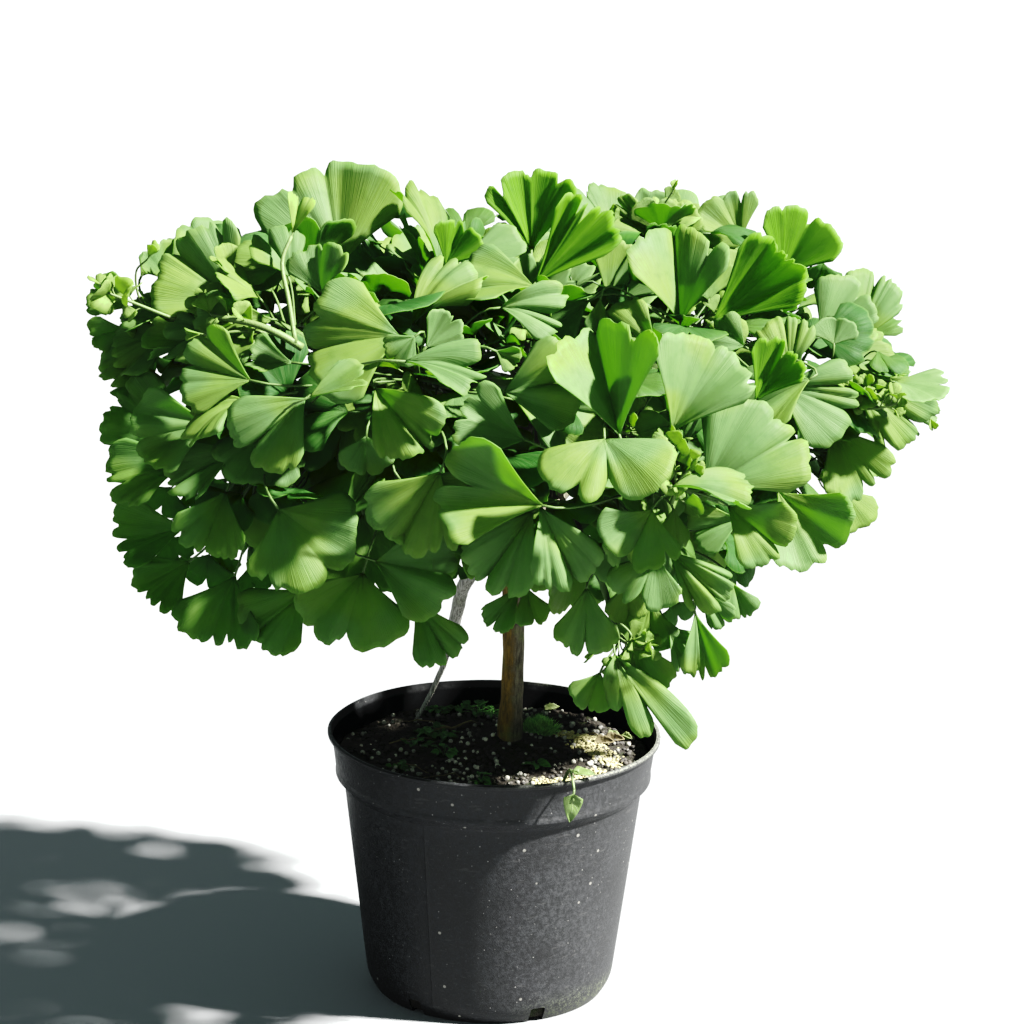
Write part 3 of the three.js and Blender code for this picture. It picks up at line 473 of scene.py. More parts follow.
# %% One leaf from its rim
def leaf_from(rim, spots, neighbours, stem):
    """A leaf's joint, axes, rim and petiole, from the points of its rim."""
    outside = set().union(*(neighbours[v] for v in rim)) - rim
    if len(outside) != 3 or len(rim) % 2:
        return None
    base = sorted(outside, key=lambda v: len(neighbours[v] & rim))
    under = neighbours[base[2]] & rim
    top = rim - under
    joint = spots[base].mean(0)
    face = unit(spots[list(top)].mean(0) - spots[list(under)].mean(0))
    axis = unit(np.cross(spots[base[1]] - spots[base[0]], spots[base[2]] - spots[base[0]]))
    axis *= np.sign((spots[list(top)].mean(0) - joint).dot(axis))
    side = np.cross(face, axis)
    flat = (spots[list(top)] - joint - face * BLADE_THICK / 2) @ np.array([axis, side, face]).T
    turn = np.arctan2(flat[:, 1], flat[:, 0])
    order = np.argsort(turn)
    petiole = [joint]
    ring = set(base)
    beyond = set().union(*(neighbours[v] for v in ring)) - ring - rim
    bends = equal_triples(spots[sorted(beyond)], PETIOLE_SIDE) if len(order) > STRAIGHT_UP_TO else []
    if bends:
        petiole.append(bends[0])
        near = [v for v in beyond if norm(spots[v] - bends[0]) < PETIOLE_SIDE]
        beyond = set().union(*(neighbours[v] for v in near)) - set(near) - ring
    way = unit(spots[sorted(beyond)].mean(0) - petiole[-1])
    gap = stem - petiole[-1]
    along = gap @ way
    aside = norm(gap - np.outer(along, way), axis=1) + np.where(along < 0, 99, 0)
    petiole.append(stem[np.argmin(aside)])
    return {
        "joint": joint,
        "axes": np.array([axis, side, face]),
        "turn": turn[order],
        "length": np.hypot(flat[:, 0], flat[:, 1])[order],
        "height": flat[order, 2],
        "petiole": np.array(petiole[::-1]),
    }


def read_shoot(node):
    spots, neighbours = corners_of(node)
    stem = stem_line(spots)
    rim = [
        v for v, near in enumerate(neighbours)
        if any(abs(norm(spots[v] - spots[n]) - BLADE_THICK) < CLOSE for n in near)
    ]
    leaves = [leaf_from(group, spots, neighbours, stem) for group in islands(rim, neighbours)]
    return {"stem": stem, "leaves": [leaf for leaf in leaves if leaf], "missed": leaves.count(None)}


shoot_nodes = sorted(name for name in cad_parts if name.startswith("shoot_"))
shoots = {name: read_shoot(name) for name in shoot_nodes}
print("leaves read:", sum(len(s["leaves"]) for s in shoots.values()))
print("groups that are no leaf:", sum(s["missed"] for s in shoots.values()))

# %% [markdown]
# ## What a ginkgo leaf looks like
#
# The blade is a fan. Its two straight sides flare from the stalk like a wedge, and the outer margin
# is a wavy arc, often cut by one deep cleft and several small ones. Veins run out from the base and
# fork as they go, so the surface is finely pleated. Young blades are small, crinkled and yellowish.
# A blade could be cut from a flat sheet and bent with modifiers. Here it is a grid of rays and rings
# instead, because the rim measured above then decides where every ray ends. The numbers in the
# formulas are shares of the blade's own size and counts of waves across it. They were tried out.

# %% The fan's outline
LARGE_BLADE = 28  # reach in millimetres; only a blade beyond it gets side clefts


def through(x, spots, values):
    """A smooth line through measured values."""
    slopes = np.gradient(values, spots)
    k = np.clip(np.searchsorted(spots, x) - 1, 0, len(spots) - 2)
    width = spots[k + 1] - spots[k]
    t = np.clip((x - spots[k]) / width, 0, 1)
    a, b = (1 + 2 * t) * (1 - t) ** 2, t * (1 - t) ** 2
    c, d = t**2 * (3 - 2 * t), t**2 * (t - 1)
    return a * values[k] + b * width * slopes[k] + c * values[k + 1] + d * width * slopes[k + 1]


def cut_into(rays, m, middle, depth, width, power):
    """The rays with a cut in the margin; its depth is a share of their length."""
    return rays * (1 - depth * np.exp(-(np.abs(m - middle) / width) ** power))


def outline_of(leaf, m, dice):
    """How far the blade reaches along each ray; m runs from -1 to 1 across the fan."""
    if "rim" in leaf:
        return np.interp(m * np.abs(leaf["turn"]).max(), *leaf["rim"]) * (1 + 0.008 * np.sin(40 * m))
    marks = leaf["turn"] / np.abs(leaf["turn"]).max()
    reach, middle = leaf["length"], len(marks) // 2
    rays = through(m, np.delete(marks, middle), np.delete(reach, middle))
    cleft = max(0.02, 1 - reach[middle] / reach[[middle - 1, middle + 1]].mean())
    rays = cut_into(rays, m, 0, 1.12 * cleft, 0.035 + 0.16 * cleft, 1.3)
    for _ in range(dice.integers(2, 6)):
        where, depth = dice.uniform(-0.9, 0.9), dice.uniform(0.02, 0.1)
        rays = cut_into(rays, m, where, depth, dice.uniform(0.02, 0.05), 1.2)
    for _ in range(dice.integers(0, 3) if reach.max() > LARGE_BLADE else 0):
        where, depth = dice.uniform(0.25, 0.8) * dice.choice([-1, 1]), dice.uniform(0.1, 0.3)
        rays = cut_into(rays, m, where, depth, 0.02 + 0.1 * depth, 1.3)
    count, phase = dice.uniform(7, 11), dice.uniform(0, 6)
    scallops = np.abs(np.sin(count * m + phase + 0.7 * np.sin(5 * m + phase))) ** 0.7
    ripple = np.sin(31 * m + 2 * phase) + np.sin(47 * m + phase)
    corner = np.clip((np.abs(m) - 0.8) / 0.2, 0, 1) ** 2
    return rays * (0.975 + 0.04 * scallops + 0.006 * ripple) * (1 - 0.16 * corner)


# %% The fan's relief
def relief_of(leaf, m, r, dice, young):
    """Height of the blade above its flat fan, at ray m and at share r of the way out."""
    size = leaf["length"].max()
    marks = leaf["turn"] / np.abs(leaf["turn"]).max()
    tilt = through(m, marks, leaf["height"] / leaf["length"])
    height = tilt * through(m, marks, leaf["length"]) * r
    height = height + dice.uniform(-0.05, 0.11) * size * 4 * r * (1 - r)
    a, b, c, d = dice.uniform(0, 6, 4)
    warp = m + 0.06 * np.sin(5 * m + d)
    broad = 1 - 2 * np.abs(np.sin(dice.uniform(4.5, 7) * warp + a)) ** 0.7
    narrow = np.sin(dice.uniform(22, 30) * warp + b)
    deep = dice.uniform(0.2, 0.75) * leaf.get("calm", 1)
    height = height + (0.02 + 0.012 * young) * deep * size * (broad + 0.3 * narrow) * r**1.2
    ruffle = np.sin(dice.uniform(4, 8) * m + c) * (0.035 + 0.05 * young) + dice.uniform(-0.07, 0.03)
    curl = leaf.get("curl", dice.uniform(-0.2, 0.12)) * r**2 + dice.uniform(-0.1, 0.1) * m * r**2
    return height + (ruffle * r**3 + curl) * size


# %% One blade as a closed thin shell
SHELL = 0.5  # thickness of a fine blade
MANY_COLUMNS = 24  # a blade with more columns than this also gets more rings
RINGS = np.array([0.02, 0.1, 0.24, 0.42, 0.6, 0.78, 0.91, 1.0])
YOUNG_RINGS = np.array([0.03, 0.3, 0.65, 1.0])


def grid_faces(rows, columns, start, flip):
    quads = []
    for i in range(rows - 1):
        for j in range(columns - 1):
            a = start + i * columns + j
            quad = (a, a + 1, a + columns + 1, a + columns)
            quads.append(quad[::-1] if flip else quad)
    return quads


def add_shell(form, middle, thick, chart, tone, outward, young=0.0, flip=False):
    """A grid of points as a shell: a skin on each side of it, and a border that joins the two."""
    rows, width = middle.shape[:2]
    half = rows * width
    grid = np.arange(half).reshape(rows, width)
    border = np.concatenate([grid[0], grid[1:, -1], grid[-1, -2::-1], grid[-2:0:-1, 0]]).tolist()
    faces = grid_faces(rows, width, 0, flip) + grid_faces(rows, width, half, not flip)
    for a, b in zip(border, border[1:] + border[:1]):
        faces.append((a, b, b + half, a + half) if flip else (b, a, a + half, b + half))
    tint = np.empty((2 * half, 4))
    tint[:, 0], tint[:, 1], tint[:, 2] = tone, np.tile(outward, 2), young
    tint[:, 3] = np.repeat([1.0, 0.0], half)
    points = np.concatenate([middle + thick, middle - thick]).reshape(-1, 3)
    form.add(points, faces, tint, np.tile(chart.reshape(-1, 2), (2, 1)))


def fan_points(leaf, m, rings, dice, young):
    """The blade's middle surface as rows of points, from the stalk out to the margin."""
    half = np.abs(leaf["turn"]).max()
    rays = outline_of(leaf, m, dice)
    r = rings[:, None]
    turn = half * m * (0.74 + 0.26 * r**0.6)
    away = r * rays
    height = relief_of(leaf, m[None, :], r, dice, young)
    flat = np.stack([away * np.cos(turn), away * np.sin(turn), height], axis=-1)
    chart = np.stack([turn + np.zeros_like(away), away / 60], axis=-1)
    return leaf["joint"] + flat @ leaf["axes"], chart


def add_blade(form, leaf, dice, columns, young):
    s = np.linspace(-1, 1, columns + 1)
    m = np.sign(s) * np.abs(s) ** 1.2
    rings = RINGS if columns > MANY_COLUMNS else YOUNG_RINGS
    middle, chart = fan_points(leaf, m, rings, dice, young)
    normal = unit(np.cross(np.gradient(middle, axis=0), np.gradient(middle, axis=1)))
    at_base = np.exp(-rings * leaf["length"].max() / 4)
    thick = (0.6 if young else 1.0) * (SHELL + at_base)[:, None, None] / 2
    outward = np.repeat(rings, columns + 1)
    add_shell(form, middle, normal * thick, chart, leaf.get("tone", dice.random()), outward, young)


# %% Stalks and stems
def bend(a, b, c, d, count=9):
    """A smooth bend from a to d that leaves toward b and arrives from c."""
    t = np.linspace(0, 1, count)[:, None]
    return (1 - t) ** 3 * a + 3 * t * (1 - t) ** 2 * b + 3 * t**2 * (1 - t) * c + t**3 * d


def add_petiole(form, leaf, young, radius):
    root, first, joint = leaf["petiole"][[0, 1, -1]]
    span = norm(joint - root)
    leave = root + 0.45 * span * unit(first - root)
    arrive = joint - 0.3 * span * leaf["axes"][0]
    path = bend(root, leave, arrive, joint + leaf["axes"][0] * 1.2)
    swell = radius * (1 + 0.7 * np.exp(-np.linspace(0, 12, len(path))))
    form.tube(path, swell, 6, (leaf.get("tone", 0.5), 0.5, young, 0), slot=1)


def add_leaf(form, leaf, dice, columns, stalk=0.8, young=0.0):
    add_blade(form, leaf, dice, columns, young)
    add_petiole(form, leaf, float(young > 0), stalk)


def add_stem(form, line, dice):
    path = np.concatenate([[line[0] - 4 * unit(line[1] - line[0])], line[::2]])
    knots = 1 + 0.12 * np.sin(np.linspace(0, 30, len(path)))
    form.tube(path, np.linspace(2.6, 1.5, len(path)) * knots, 8, (dice.random(), 0.2, 0, 0), slot=1)


# %% [markdown]
# ## Young leaves and inner leaves
#
# More leaves fill the crown between the large ones. They are grown by a rule from a seeded stream
# of numbers, so the plant is the same every time. An inner leaf is kept only where its fan crosses
# no other fan. A tree of face boxes answers that question quickly for each candidate.

# %% A leaf by rule
def new_leaf(joint, axis, face, reach, half, root, dice, fold, cleft):
    """A leaf as it would have been read, from a few sizes."""
    axis = unit(axis)
    face = unit(face - axis * axis.dot(face))
    marks = np.array([-1, -0.6, -0.2, 0, 0.2, 0.6, 1])
    length = reach * (0.9 + 0.1 * np.sqrt(1 - 0.98 * marks**2)) * dice.uniform(0.96, 1.04, 7)
    length[3] *= 1 - cleft
    return {
        "joint": joint,
        "axes": np.array([axis, np.cross(face, axis), face]),
        "turn": marks * half,
        "length": length,
        "height": length * (fold * np.abs(marks) - 0.4 * fold),
        "petiole": np.array([root, joint]),
    }


def coarse_fan(leaf):
    """The blade as a few triangles, for crossing tests."""
    c, s = np.cos(leaf["turn"]), np.sin(leaf["turn"])
    flat = np.stack([leaf["length"] * c, leaf["length"] * s, leaf["height"]], axis=-1)
    rim = leaf["joint"] + flat @ leaf["axes"]
    points = [tuple(p) for p in (leaf["joint"], *rim)]
    return BVHTree.FromPolygons(points, [(0, i, i + 1) for i in range(1, len(rim))])


# %% Leaves inside the crown
CROWN_MIDDLE, CROWN_HALF = np.array([8, 0, 400]), (288, 220, 132)
TIPS_MIDDLE, TIPS_HALF = CROWN_MIDDLE + (-2, 0, 4), (270, 208, 130)  # the room for inner leaves' tips
BARE_ROUND, BARE_BELOW = 90, 300  # the bare trunk's room, which stays free of leaves
PLACES, ROUNDS = 12, 6  # on each shoot, and how often each place is tried


def inner_leaf(line, t, dice):
    """A leaf that hangs from a shoot toward the outside of the crown."""
    spot = line[int(t * (len(line) - 1))]
    way = unit(line[-1] - line[0])
    aside = unit(np.cross(way, dice.normal(size=3)))
    outward = unit((spot - CROWN_MIDDLE) / CROWN_HALF)
    aim = unit(0.4 * way + 0.9 * aside + 0.25 * outward)
    joint = spot + aim * dice.uniform(16, 60)
    axis = unit(0.5 * outward + 0.6 * aim + (0, 0, -0.35) + 0.35 * dice.normal(size=3))
    face = unit(np.array([0.2, -0.2, 0.8]) + 0.6 * outward + 0.4 * dice.normal(size=3))
    half, reach = dice.uniform(0.75, 1.25), dice.uniform(22, 42)
    fold, cleft = dice.uniform(0, 0.4), dice.choice([0.05, 0.4])
    return new_leaf(joint, axis, face, reach, half, spot, dice, fold, cleft)


def from_trunk(x, y):
    """The distance on the plan from the trunk's foot."""
    return hypot(x - 10.5, y - 12)


def inside_crown(leaf):
    tip = leaf["joint"] + leaf["axes"][0] * leaf["length"].max()
    away = np.abs((tip - TIPS_MIDDLE) / TIPS_HALF)
    bare = from_trunk(*tip[:2]) < BARE_ROUND and tip[2] < BARE_BELOW
    return (away[:2].dot(away[:2])) ** 1.25 + away[2] ** 2.5 < 1 and not bare


def ball_round(leaf):
    """Middle and radius of a ball that holds the blade."""
    half = leaf["length"].max() / 2
    return (*(leaf["joint"] + leaf["axes"][0] * half), half * 1.7)


taken = [leaf for shoot in shoots.values() for leaf in shoot["leaves"]]
fans, balls = [coarse_fan(leaf) for leaf in taken], [ball_round(leaf) for leaf in taken]
for number, shoot in enumerate(shoots.values()):
    dice = np.random.default_rng(700 + number)
    shoot["inner"] = []
    for t in np.tile(np.linspace(0.08, 0.95, PLACES), ROUNDS):
        leaf = inner_leaf(shoot["stem"], t, dice)
        if not inside_crown(leaf):
            continue
        fan, ball, others = coarse_fan(leaf), ball_round(leaf), np.array(balls)
        near = norm(others[:, :3] - ball[:3], axis=1) < others[:, 3] + ball[3]
        if not any(fan.overlap(fans[k]) for k in np.flatnonzero(near)):
            fans.append(fan)
            balls.append(ball)
            shoot["inner"].append(leaf)
print("inner leaves:", sum(len(s["inner"]) for s in shoots.values()))

# %% [markdown]
# The rule leaves a few holes where daylight would show through the crown. A dense shrub has none
# there, so one more leaf is set behind each, in the first depth where it crosses nothing.

# %% Leaves behind the gaps
# the hole's place in millimetres, and the leaf's reach
GAPS = [
    (-193, 10, 277, 28), (-219, 0, 329, 22), (-211, 5, 294, 22), (-223, 0, 420, 14),
    (-203, 0, 328, 14), (62, 30, 306, 16), (-26, 10, 282, 12), (-162, 15, 271, 20),
    (-183, 15, 283, 18), (37, 20, 338, 18), (207, 40, 479, 20), (118, -40, 272, 18),
]


def set_leaf(spot, reach, axis, face, moves, dice):
    """Gives the nearest shoot a leaf at the first of some moved spots where it crosses no other."""
    ends = {}
    for node, shoot in shoots.items():
        away = norm(shoot["stem"] - spot, axis=1)
        ends[node] = away.min(), shoot["stem"][away.argmin()]
    home = min(ends, key=lambda node: ends[node][0])
    for move in moves:
        joint = np.array(spot) + move - axis * reach * 0.55
        leaf = new_leaf(joint, axis, face, reach, 1.15, ends[home][1], dice, 0.1, 0.3)
        if not any(coarse_fan(leaf).overlap(fan) for fan in fans):
            fans.append(coarse_fan(leaf))
            shoots[home]["inner"].append(leaf)
            return


for number, (*spot, reach) in enumerate(GAPS):
    dice = np.random.default_rng(800 + number)
    axis, face = unit((dice.uniform(-0.6, 0.6), 0.1, -1)), (dice.uniform(-0.2, 0.5), -0.9, 0.3)
    moves = [(0, back, -0.27 * back) for back in (0, 8, -8, 16, -16, 26, 38, 52, 66)]
    set_leaf(spot, reach, axis, face, moves, dice)

# %% [markdown]
# The same holes would let sunlight fall on the soil, which lies in the shade of a real shrub. So a
# few more leaves hang in the sun's way and face it, again where they cross nothing.

# %% Leaves in the sun's way
# the leaf's place in millimetres, and its reach
SHADES = [
    (150, -95, 334, 26), (130, 49, 334, 26), (150, -119, 334, 24), (70, 17, 334, 24),
    (110, -127, 334, 22), (85, 41, 334, 22), (136, -108, 350, 20), (208, 26, 334, 28),
    (222, 4, 338, 20), (188, 50, 336, 22), (150, 58, 340, 18), (170, -114, 342, 14),
]
from_sun = np.array(sky_way(SUN_BEARING, SUN_HEIGHT))
for number, (*spot, reach) in enumerate(SHADES):
    dice = np.random.default_rng(900 + number)
    axis = unit(np.cross(from_sun, (dice.uniform(-0.4, 0.4), -1, 0)))
    moves = [from_sun * step for step in (0, 8, -8, 16, -16, 26, -26, 40, -40)]
    set_leaf(spot, reach, axis, from_sun, moves, dice)
print("leaves in the crown's depth:", sum(len(s["inner"]) for s in shoots.values()))

# %% [markdown]
# Each shoot ends in a tuft of tiny new leaves. They stand round its tip in a spiral, each a golden
# angle on from the last, as most plants set their leaves.

# %% Tufts
GOLDEN = 2.4  # the golden angle in radians


def way_aside(way, k, dice):
    """The way out from a shoot that grows along `way` to the leaf number k round it."""
    turn = k * GOLDEN + dice.uniform(-0.4, 0.4)
    side = unit(np.cross(way, (0.3, 0.2, 0.9)))
    return side * cos(turn) + np.cross(way, side) * sin(turn)


def tuft(line, dice, count):
    """Tiny new leaves round the tip of a shoot."""
    way = unit(line[-1] - line[-4])
    for k in range(count):
        aside = way_aside(way, k, dice)
        aim = unit(way + (0.5 + 0.9 * k / count) * aside + (0, 0, 0.25))
        root = line[-1 - k // 2]
        joint = root + aim * dice.uniform(5, 17)
        axis = unit(aim + 0.5 * dice.normal(size=3))
        reach = dice.uniform(8, 19)
        face = way * -0.5 + np.array([0.2, -0.3, 0.9]) + 0.4 * dice.normal(size=3)
        half, fold = dice.uniform(0.8, 1.4), dice.uniform(0, 0.6)
        yield new_leaf(joint, axis, face, reach, half, root, dice, fold, 0.3)


# %% [markdown]
# ## The finish of leaves and stalks
#
# A blade in the sun shows two things at once: a pale, slightly waxy upper side that reflects, and a
# glow of saturated yellow-green where light comes through from behind. So the surface mixes a
# principled shader with a translucent one. Light has to pass the blade's upper and lower skin, so
# the translucent colour is brighter than the glow that is seen. The veins are noise drawn out along
# the rays of the fan. A wave texture would be too regular, since real veins fork. The margin is a
# little paler, the underside is duller, and each leaf has its own tone. The tone also carries painted
# shade, which darkens leaves deep in the crown and low on the left, and a painted glow, which turns
# a few leaves a strong yellow-green as if the sun shone through them.

# %% Blade and stalk materials
def leafy(r, share, bump, colour, glow, **skin):
    """A principled skin with a share of light that comes through."""
    front = r.node("BsdfPrincipled", Base_Color=colour, Normal=bump, **skin)
    back = r.node("BsdfTranslucent", Color=glow, Normal=bump)
    return r.surface(r.node("MixShader", share, front, back))


def veins_of(r, rays, along):
    return r.clouds(r.node("Mapping", Vector=r.chart(), Scale=(rays, along, 1)))


def leaf_finish():
    r = Recipe("leaf_blade")
    tone, outward, young, top = r.tint()
    veins = r.node("Mix", Factor=r.fade(outward, 0.3, 0.7), A=veins_of(r, 34, 1.2), B=veins_of(r, 75, 1.6))
    vein_lines = r.fade(veins, 0.42, 0.62)
    mottle = r.specks(9, 4)
    warm = r.fade(r.specks(45, 1), 0.42, 0.6)
    old = r.blend(tone, (0.006, 0.036, 0.006), r.blend(warm, (0.074, 0.135, 0.049), (0.09, 0.148, 0.031)))
    colour = r.layers(
        old,
        # painted glow: a tone above 1 turns the blade a strong yellow-green, as if the sun shone through it
        (r.fade(tone, 1.0, 2.0), (0.045, 0.13, 0.002)),
        (young, (0.11, 0.18, 0.045)),
        (r.times(vein_lines, 0.22), (0.1, 0.165, 0.06)),
        (r.fade(outward, 0.95, 1.0, 0, 0.3), (0.1, 0.175, 0.05)),
        (r.fade(mottle, 0.45, 0.75, 0, 0.25), (0.01, 0.042, 0.008)),
        (r.fade(top, 1, 0, 0, 0.3), (0.022, 0.066, 0.018)),
    )
    glow = r.blend(young, (0.275, 0.5, 0.02), (0.4, 0.6, 0.08))
    glow = r.blend(r.times(vein_lines, 0.3), glow, (0.2, 0.4, 0.015))
    bump = r.bump(r.plus(veins, r.times(mottle, 0.3)), 0.4)
    return leafy(r, 0.4, bump, colour, glow, Roughness=0.6, Specular_IOR_Level=0.13)


def stalk_finish():
    r = Recipe("green_stalk")
    tone, _, young, _ = r.tint()
    streak = r.clouds(r.place((0.7, 0.7, 9)), detail=3.0)
    colour = r.layers(
        (0.018, 0.045, 0.01),
        (tone, (0.045, 0.085, 0.02)),
        (young, (0.06, 0.1, 0.028)),
        (r.fade(streak, 0.4, 0.7, 0, 0.4), (0.07, 0.105, 0.035)),
    )
    return r.coat(Base_Color=colour, Roughness=0.55, Specular_IOR_Level=0.25, Normal=r.bump(streak, 0.3))


blade_material, stalk_material = leaf_finish(), stalk_finish()

# %% [markdown]
# ## Growing the shoots
#
# Every shoot becomes one piece that stands for its CAD node: the stem, each read leaf, the inner
# leaves and the tuft at the tip. Its blades keep the places, sizes and tilts of the CAD blades.

# %% One leaf with three lobes
def turn_axes(axes, angle):
    """The axes turned in the blade's plane."""
    axis, side, face = axes
    c, s = cos(angle), sin(angle)
    return np.array([axis * c + side * s, side * c - axis * s, face])


def lobed(leaf, turns, reaches):
    """The same blade with a rim given ray by ray, and its axis turned to the middle of the rays."""
    middle = (turns[0] + turns[-1]) / 2
    half = turns[-1] - middle
    leaf["axes"] = turn_axes(leaf["axes"], middle)
    leaf["rim"] = (np.array(turns) - middle, np.array(reaches, float))
    leaf["turn"] = np.linspace(-half, half, 7)
    leaf["length"] = np.interp(leaf["turn"], *leaf["rim"])
    leaf["height"] = leaf["length"] * np.array([0.16, 0.05, -0.03, -0.01, 0.02, -0.02, 0.08])
    leaf["calm"] = 0.3


hanging_leaf = shoots["shoot_06"]["leaves"][4]
# each ray's turn from the blade's first axis in radians, and its reach in millimetres
LOBES = [
    (-0.95, 12), (-0.85, 17), (-0.74, 21), (-0.66, 25), (-0.55, 31), (-0.45, 34.5), (-0.36, 35),
    (-0.3, 33.5), (-0.27, 31.5), (-0.255, 32), (-0.24, 42), (-0.2, 49), (-0.12, 54), (-0.04, 55),
    (0.04, 53), (0.09, 49.5), (0.115, 46), (0.125, 37), (0.14, 35), (0.155, 40), (0.17, 66),
    (0.22, 73), (0.3, 73), (0.38, 71), (0.44, 68), (0.5, 56), (0.57, 37), (0.62, 24),
]
lobed(hanging_leaf, *zip(*LOBES))

# %% [markdown]
# A few leaves high on the crown get a strong yellow-green, a painted glow as if the sun shone through
# them, and they arch over towards the front, so that the sun also shines through their outer half.

# %% Leaves with painted glow
GLOW_PAINTED_LEAVES = {"shoot_12": 7, "shoot_07": 3, "shoot_15": 7, "shoot_18": 4, "shoot_09": 6, "shoot_05": 20}
PAINTED_GLOW_TONE, GLOW_LEAF_CURL = 1.8, 0.2
for node, which in GLOW_PAINTED_LEAVES.items():
    leaf = shoots[node]["leaves"][which]
    leaf["tone"] = PAINTED_GLOW_TONE
    leaf["curl"] = GLOW_LEAF_CURL if leaf["axes"][2] @ toward > 0 else -GLOW_LEAF_CURL

# %% Shoots
TUFT = 7  # leaves in a tuft
LARGE = 30  # reach in millimetres
MOST_COLUMNS, LARGE_COLUMNS, COLUMNS, INNER_COLUMNS, TUFT_COLUMNS = 80, 40, 28, 18, 16


def painted_shade_factor(leaf):
    """Painted shade: the share of the bright tone, 1 for most leaves and less for those low on the left,
    away from the sun.
    """
    x, _, z = leaf["joint"]
    return min(max(1 + 0.0045 * (0.67 * x + 0.73 * (z - 330)), 0.25), 1)


def columns_for(leaf):
    if "rim" in leaf:
        return MOST_COLUMNS
    return LARGE_COLUMNS if leaf["length"].max() > LARGE else COLUMNS


for number, (node, shoot) in enumerate(shoots.items()):
    dice = np.random.default_rng(100 + number)
    form = Sculpture()
    add_stem(form, shoot["stem"], dice)
    for leaf in shoot["leaves"]:
        # painted shade: leaves low on the left, away from the sun, get a darker tone
        leaf.setdefault("tone", (0.75 + 0.25 * dice.random()) * painted_shade_factor(leaf))
        add_leaf(form, leaf, dice, columns_for(leaf))
    for leaf in shoot["inner"]:
        # painted shade: inner leaves, and those behind the gaps and in the sun's way, get a dark tone as if
        # deep in the crown's shade
        leaf["tone"] = 0.35 * dice.random() * painted_shade_factor(leaf)
        add_leaf(form, leaf, dice, INNER_COLUMNS, stalk=0.6)
    for leaf in tuft(shoot["stem"], dice, TUFT):
        add_leaf(form, leaf, dice, TUFT_COLUMNS, stalk=0.5, young=dice.uniform(0.55, 1))
    settle(form.object("leafy_" + node, blade_material, stalk_material), "leaf", node)

# %% [markdown]
# ## This year's soft shoots
#
# Here and there a soft new shoot reaches out of the crown: a pale green stalk that ends in a few
# crinkled leaves, still folded like a closing fan. Some are a single leaf on a thin hooked stalk.
# They are placed one by one, because their places give this plant its character.

# %% Soft shoots
# path in millimetres, radius at the foot and at the tip, leaves at the tip, their reach
SOFT_SHOOTS = [
    ([(-178, -44, 456), (-201, -48, 460), (-231, -52, 472), (-251, -54, 480)], 1.5, 0.8, 7, 13),
    ([(-224, -30, 462), (-231, -32, 473), (-232, -34, 489), (-225, -36, 497)], 0.8, 0.6, 1, 10),
    ([(-126, -114, 462), (-131, -102, 486), (-136, -89, 507), (-131, -80, 522)], 1.7, 1.2, 1, 27),
    ([(-122, -112, 459), (-135, -114, 467), (-152, -111, 473), (-177, -105, 476)], 2.7, 1.9, 7, 12),
    ([(-143, -108, 467), (-158, -110, 468), (-171, -111, 467), (-182, -112, 466)], 1.1, 0.9, 1, 14),
    ([(106, 10, 500), (105, 8, 518), (102, 6, 530), (107, 4, 540)], 0.9, 0.6, 1, 10),
    ([(98, 22, 500), (93, 20, 509), (87, 18, 517), (78, 16, 523)], 1.2, 0.8, 6, 10),
    ([(104, -190, 386), (106, -202, 397), (104, -208, 413), (103, -212, 426)], 1.5, 0.9, 5, 12),
    ([(103, -200, 395), (107, -206, 404), (111, -210, 410), (115, -212, 414)], 0.9, 0.7, 4, 7),
    ([(61, -192, 395), (80, -200, 401), (92, -206, 403), (101, -210, 404)], 1.8, 1.3, 5, 11),
    ([(186, -62, 410), (203, -72, 420), (219, -80, 428), (233, -84, 433)], 1.7, 1.0, 8, 10),
    ([(212, -70, 424), (224, -84, 422), (236, -92, 424), (246, -96, 428)], 1.3, 0.8, 6, 9),
    ([(250, -20, 418), (263, -22, 417), (272, -24, 412), (275, -24, 404)], 0.9, 0.6, 1, 9),
    ([(-46, -30, 460), (-44, -36, 466), (-38, -40, 470), (-32, -44, 472)], 1.2, 0.8, 4, 9),
    ([(78, -122, 283), (84, -132, 278), (90, -140, 279), (95, -146, 283)], 1.2, 0.8, 5, 8),
]


def smooth_path(spots, count):
    """A smooth line of `count` points through a few spots."""
    marks, steps = np.arange(float(len(spots))), np.linspace(0, len(spots) - 1, count)
    return np.stack([through(steps, marks, row) for row in np.array(spots, float).T], axis=-1)


def soft_shoot(form, path, foot, tip, count, reach, dice):
    line = smooth_path(path, 16)
    form.tube(line, np.linspace(foot, tip, len(line)), 7, (0.9, 0.5, 1, 0), slot=1)
    way = unit(line[-1] - line[-5])
    many = count > 1  # a single leaf goes on straight from its stalk and stays half closed
    lean, room, sway = (1.0, 5, 0.3) if many else (0.2, 0, 0.08)
    for k in range(count):
        aside = way_aside(way, k, dice)
        aim = unit(way * dice.uniform(0.4, 1.2) + lean * aside + (0, 0, 0.2))
        root = line[-1 - k]
        joint = root + aim * (2 + room * dice.random())
        size = reach * dice.uniform(0.65, 1.15)
        face = way * -0.4 + np.array([0.1, -0.6, 0.8]) + 0.5 * dice.normal(size=3)
        axis = aim + sway * dice.normal(size=3)
        half = dice.uniform(0.8, 1.45) if many else 0.45
        leaf = new_leaf(joint, axis, face, size, half, root, dice, dice.uniform(0.3, 1.1), 0.25)
        leaf["tone"] = dice.uniform(0.6, 1)
        add_leaf(form, leaf, dice, MANY_COLUMNS, stalk=0.5, young=dice.uniform(0.85, 1.3))


soft_form = Sculpture()
for number, shoot in enumerate(SOFT_SHOOTS):
    soft_shoot(soft_form, *shoot, np.random.default_rng(900 + number))
settle(soft_form.object("soft_shoots", blade_material, stalk_material), "leaf")

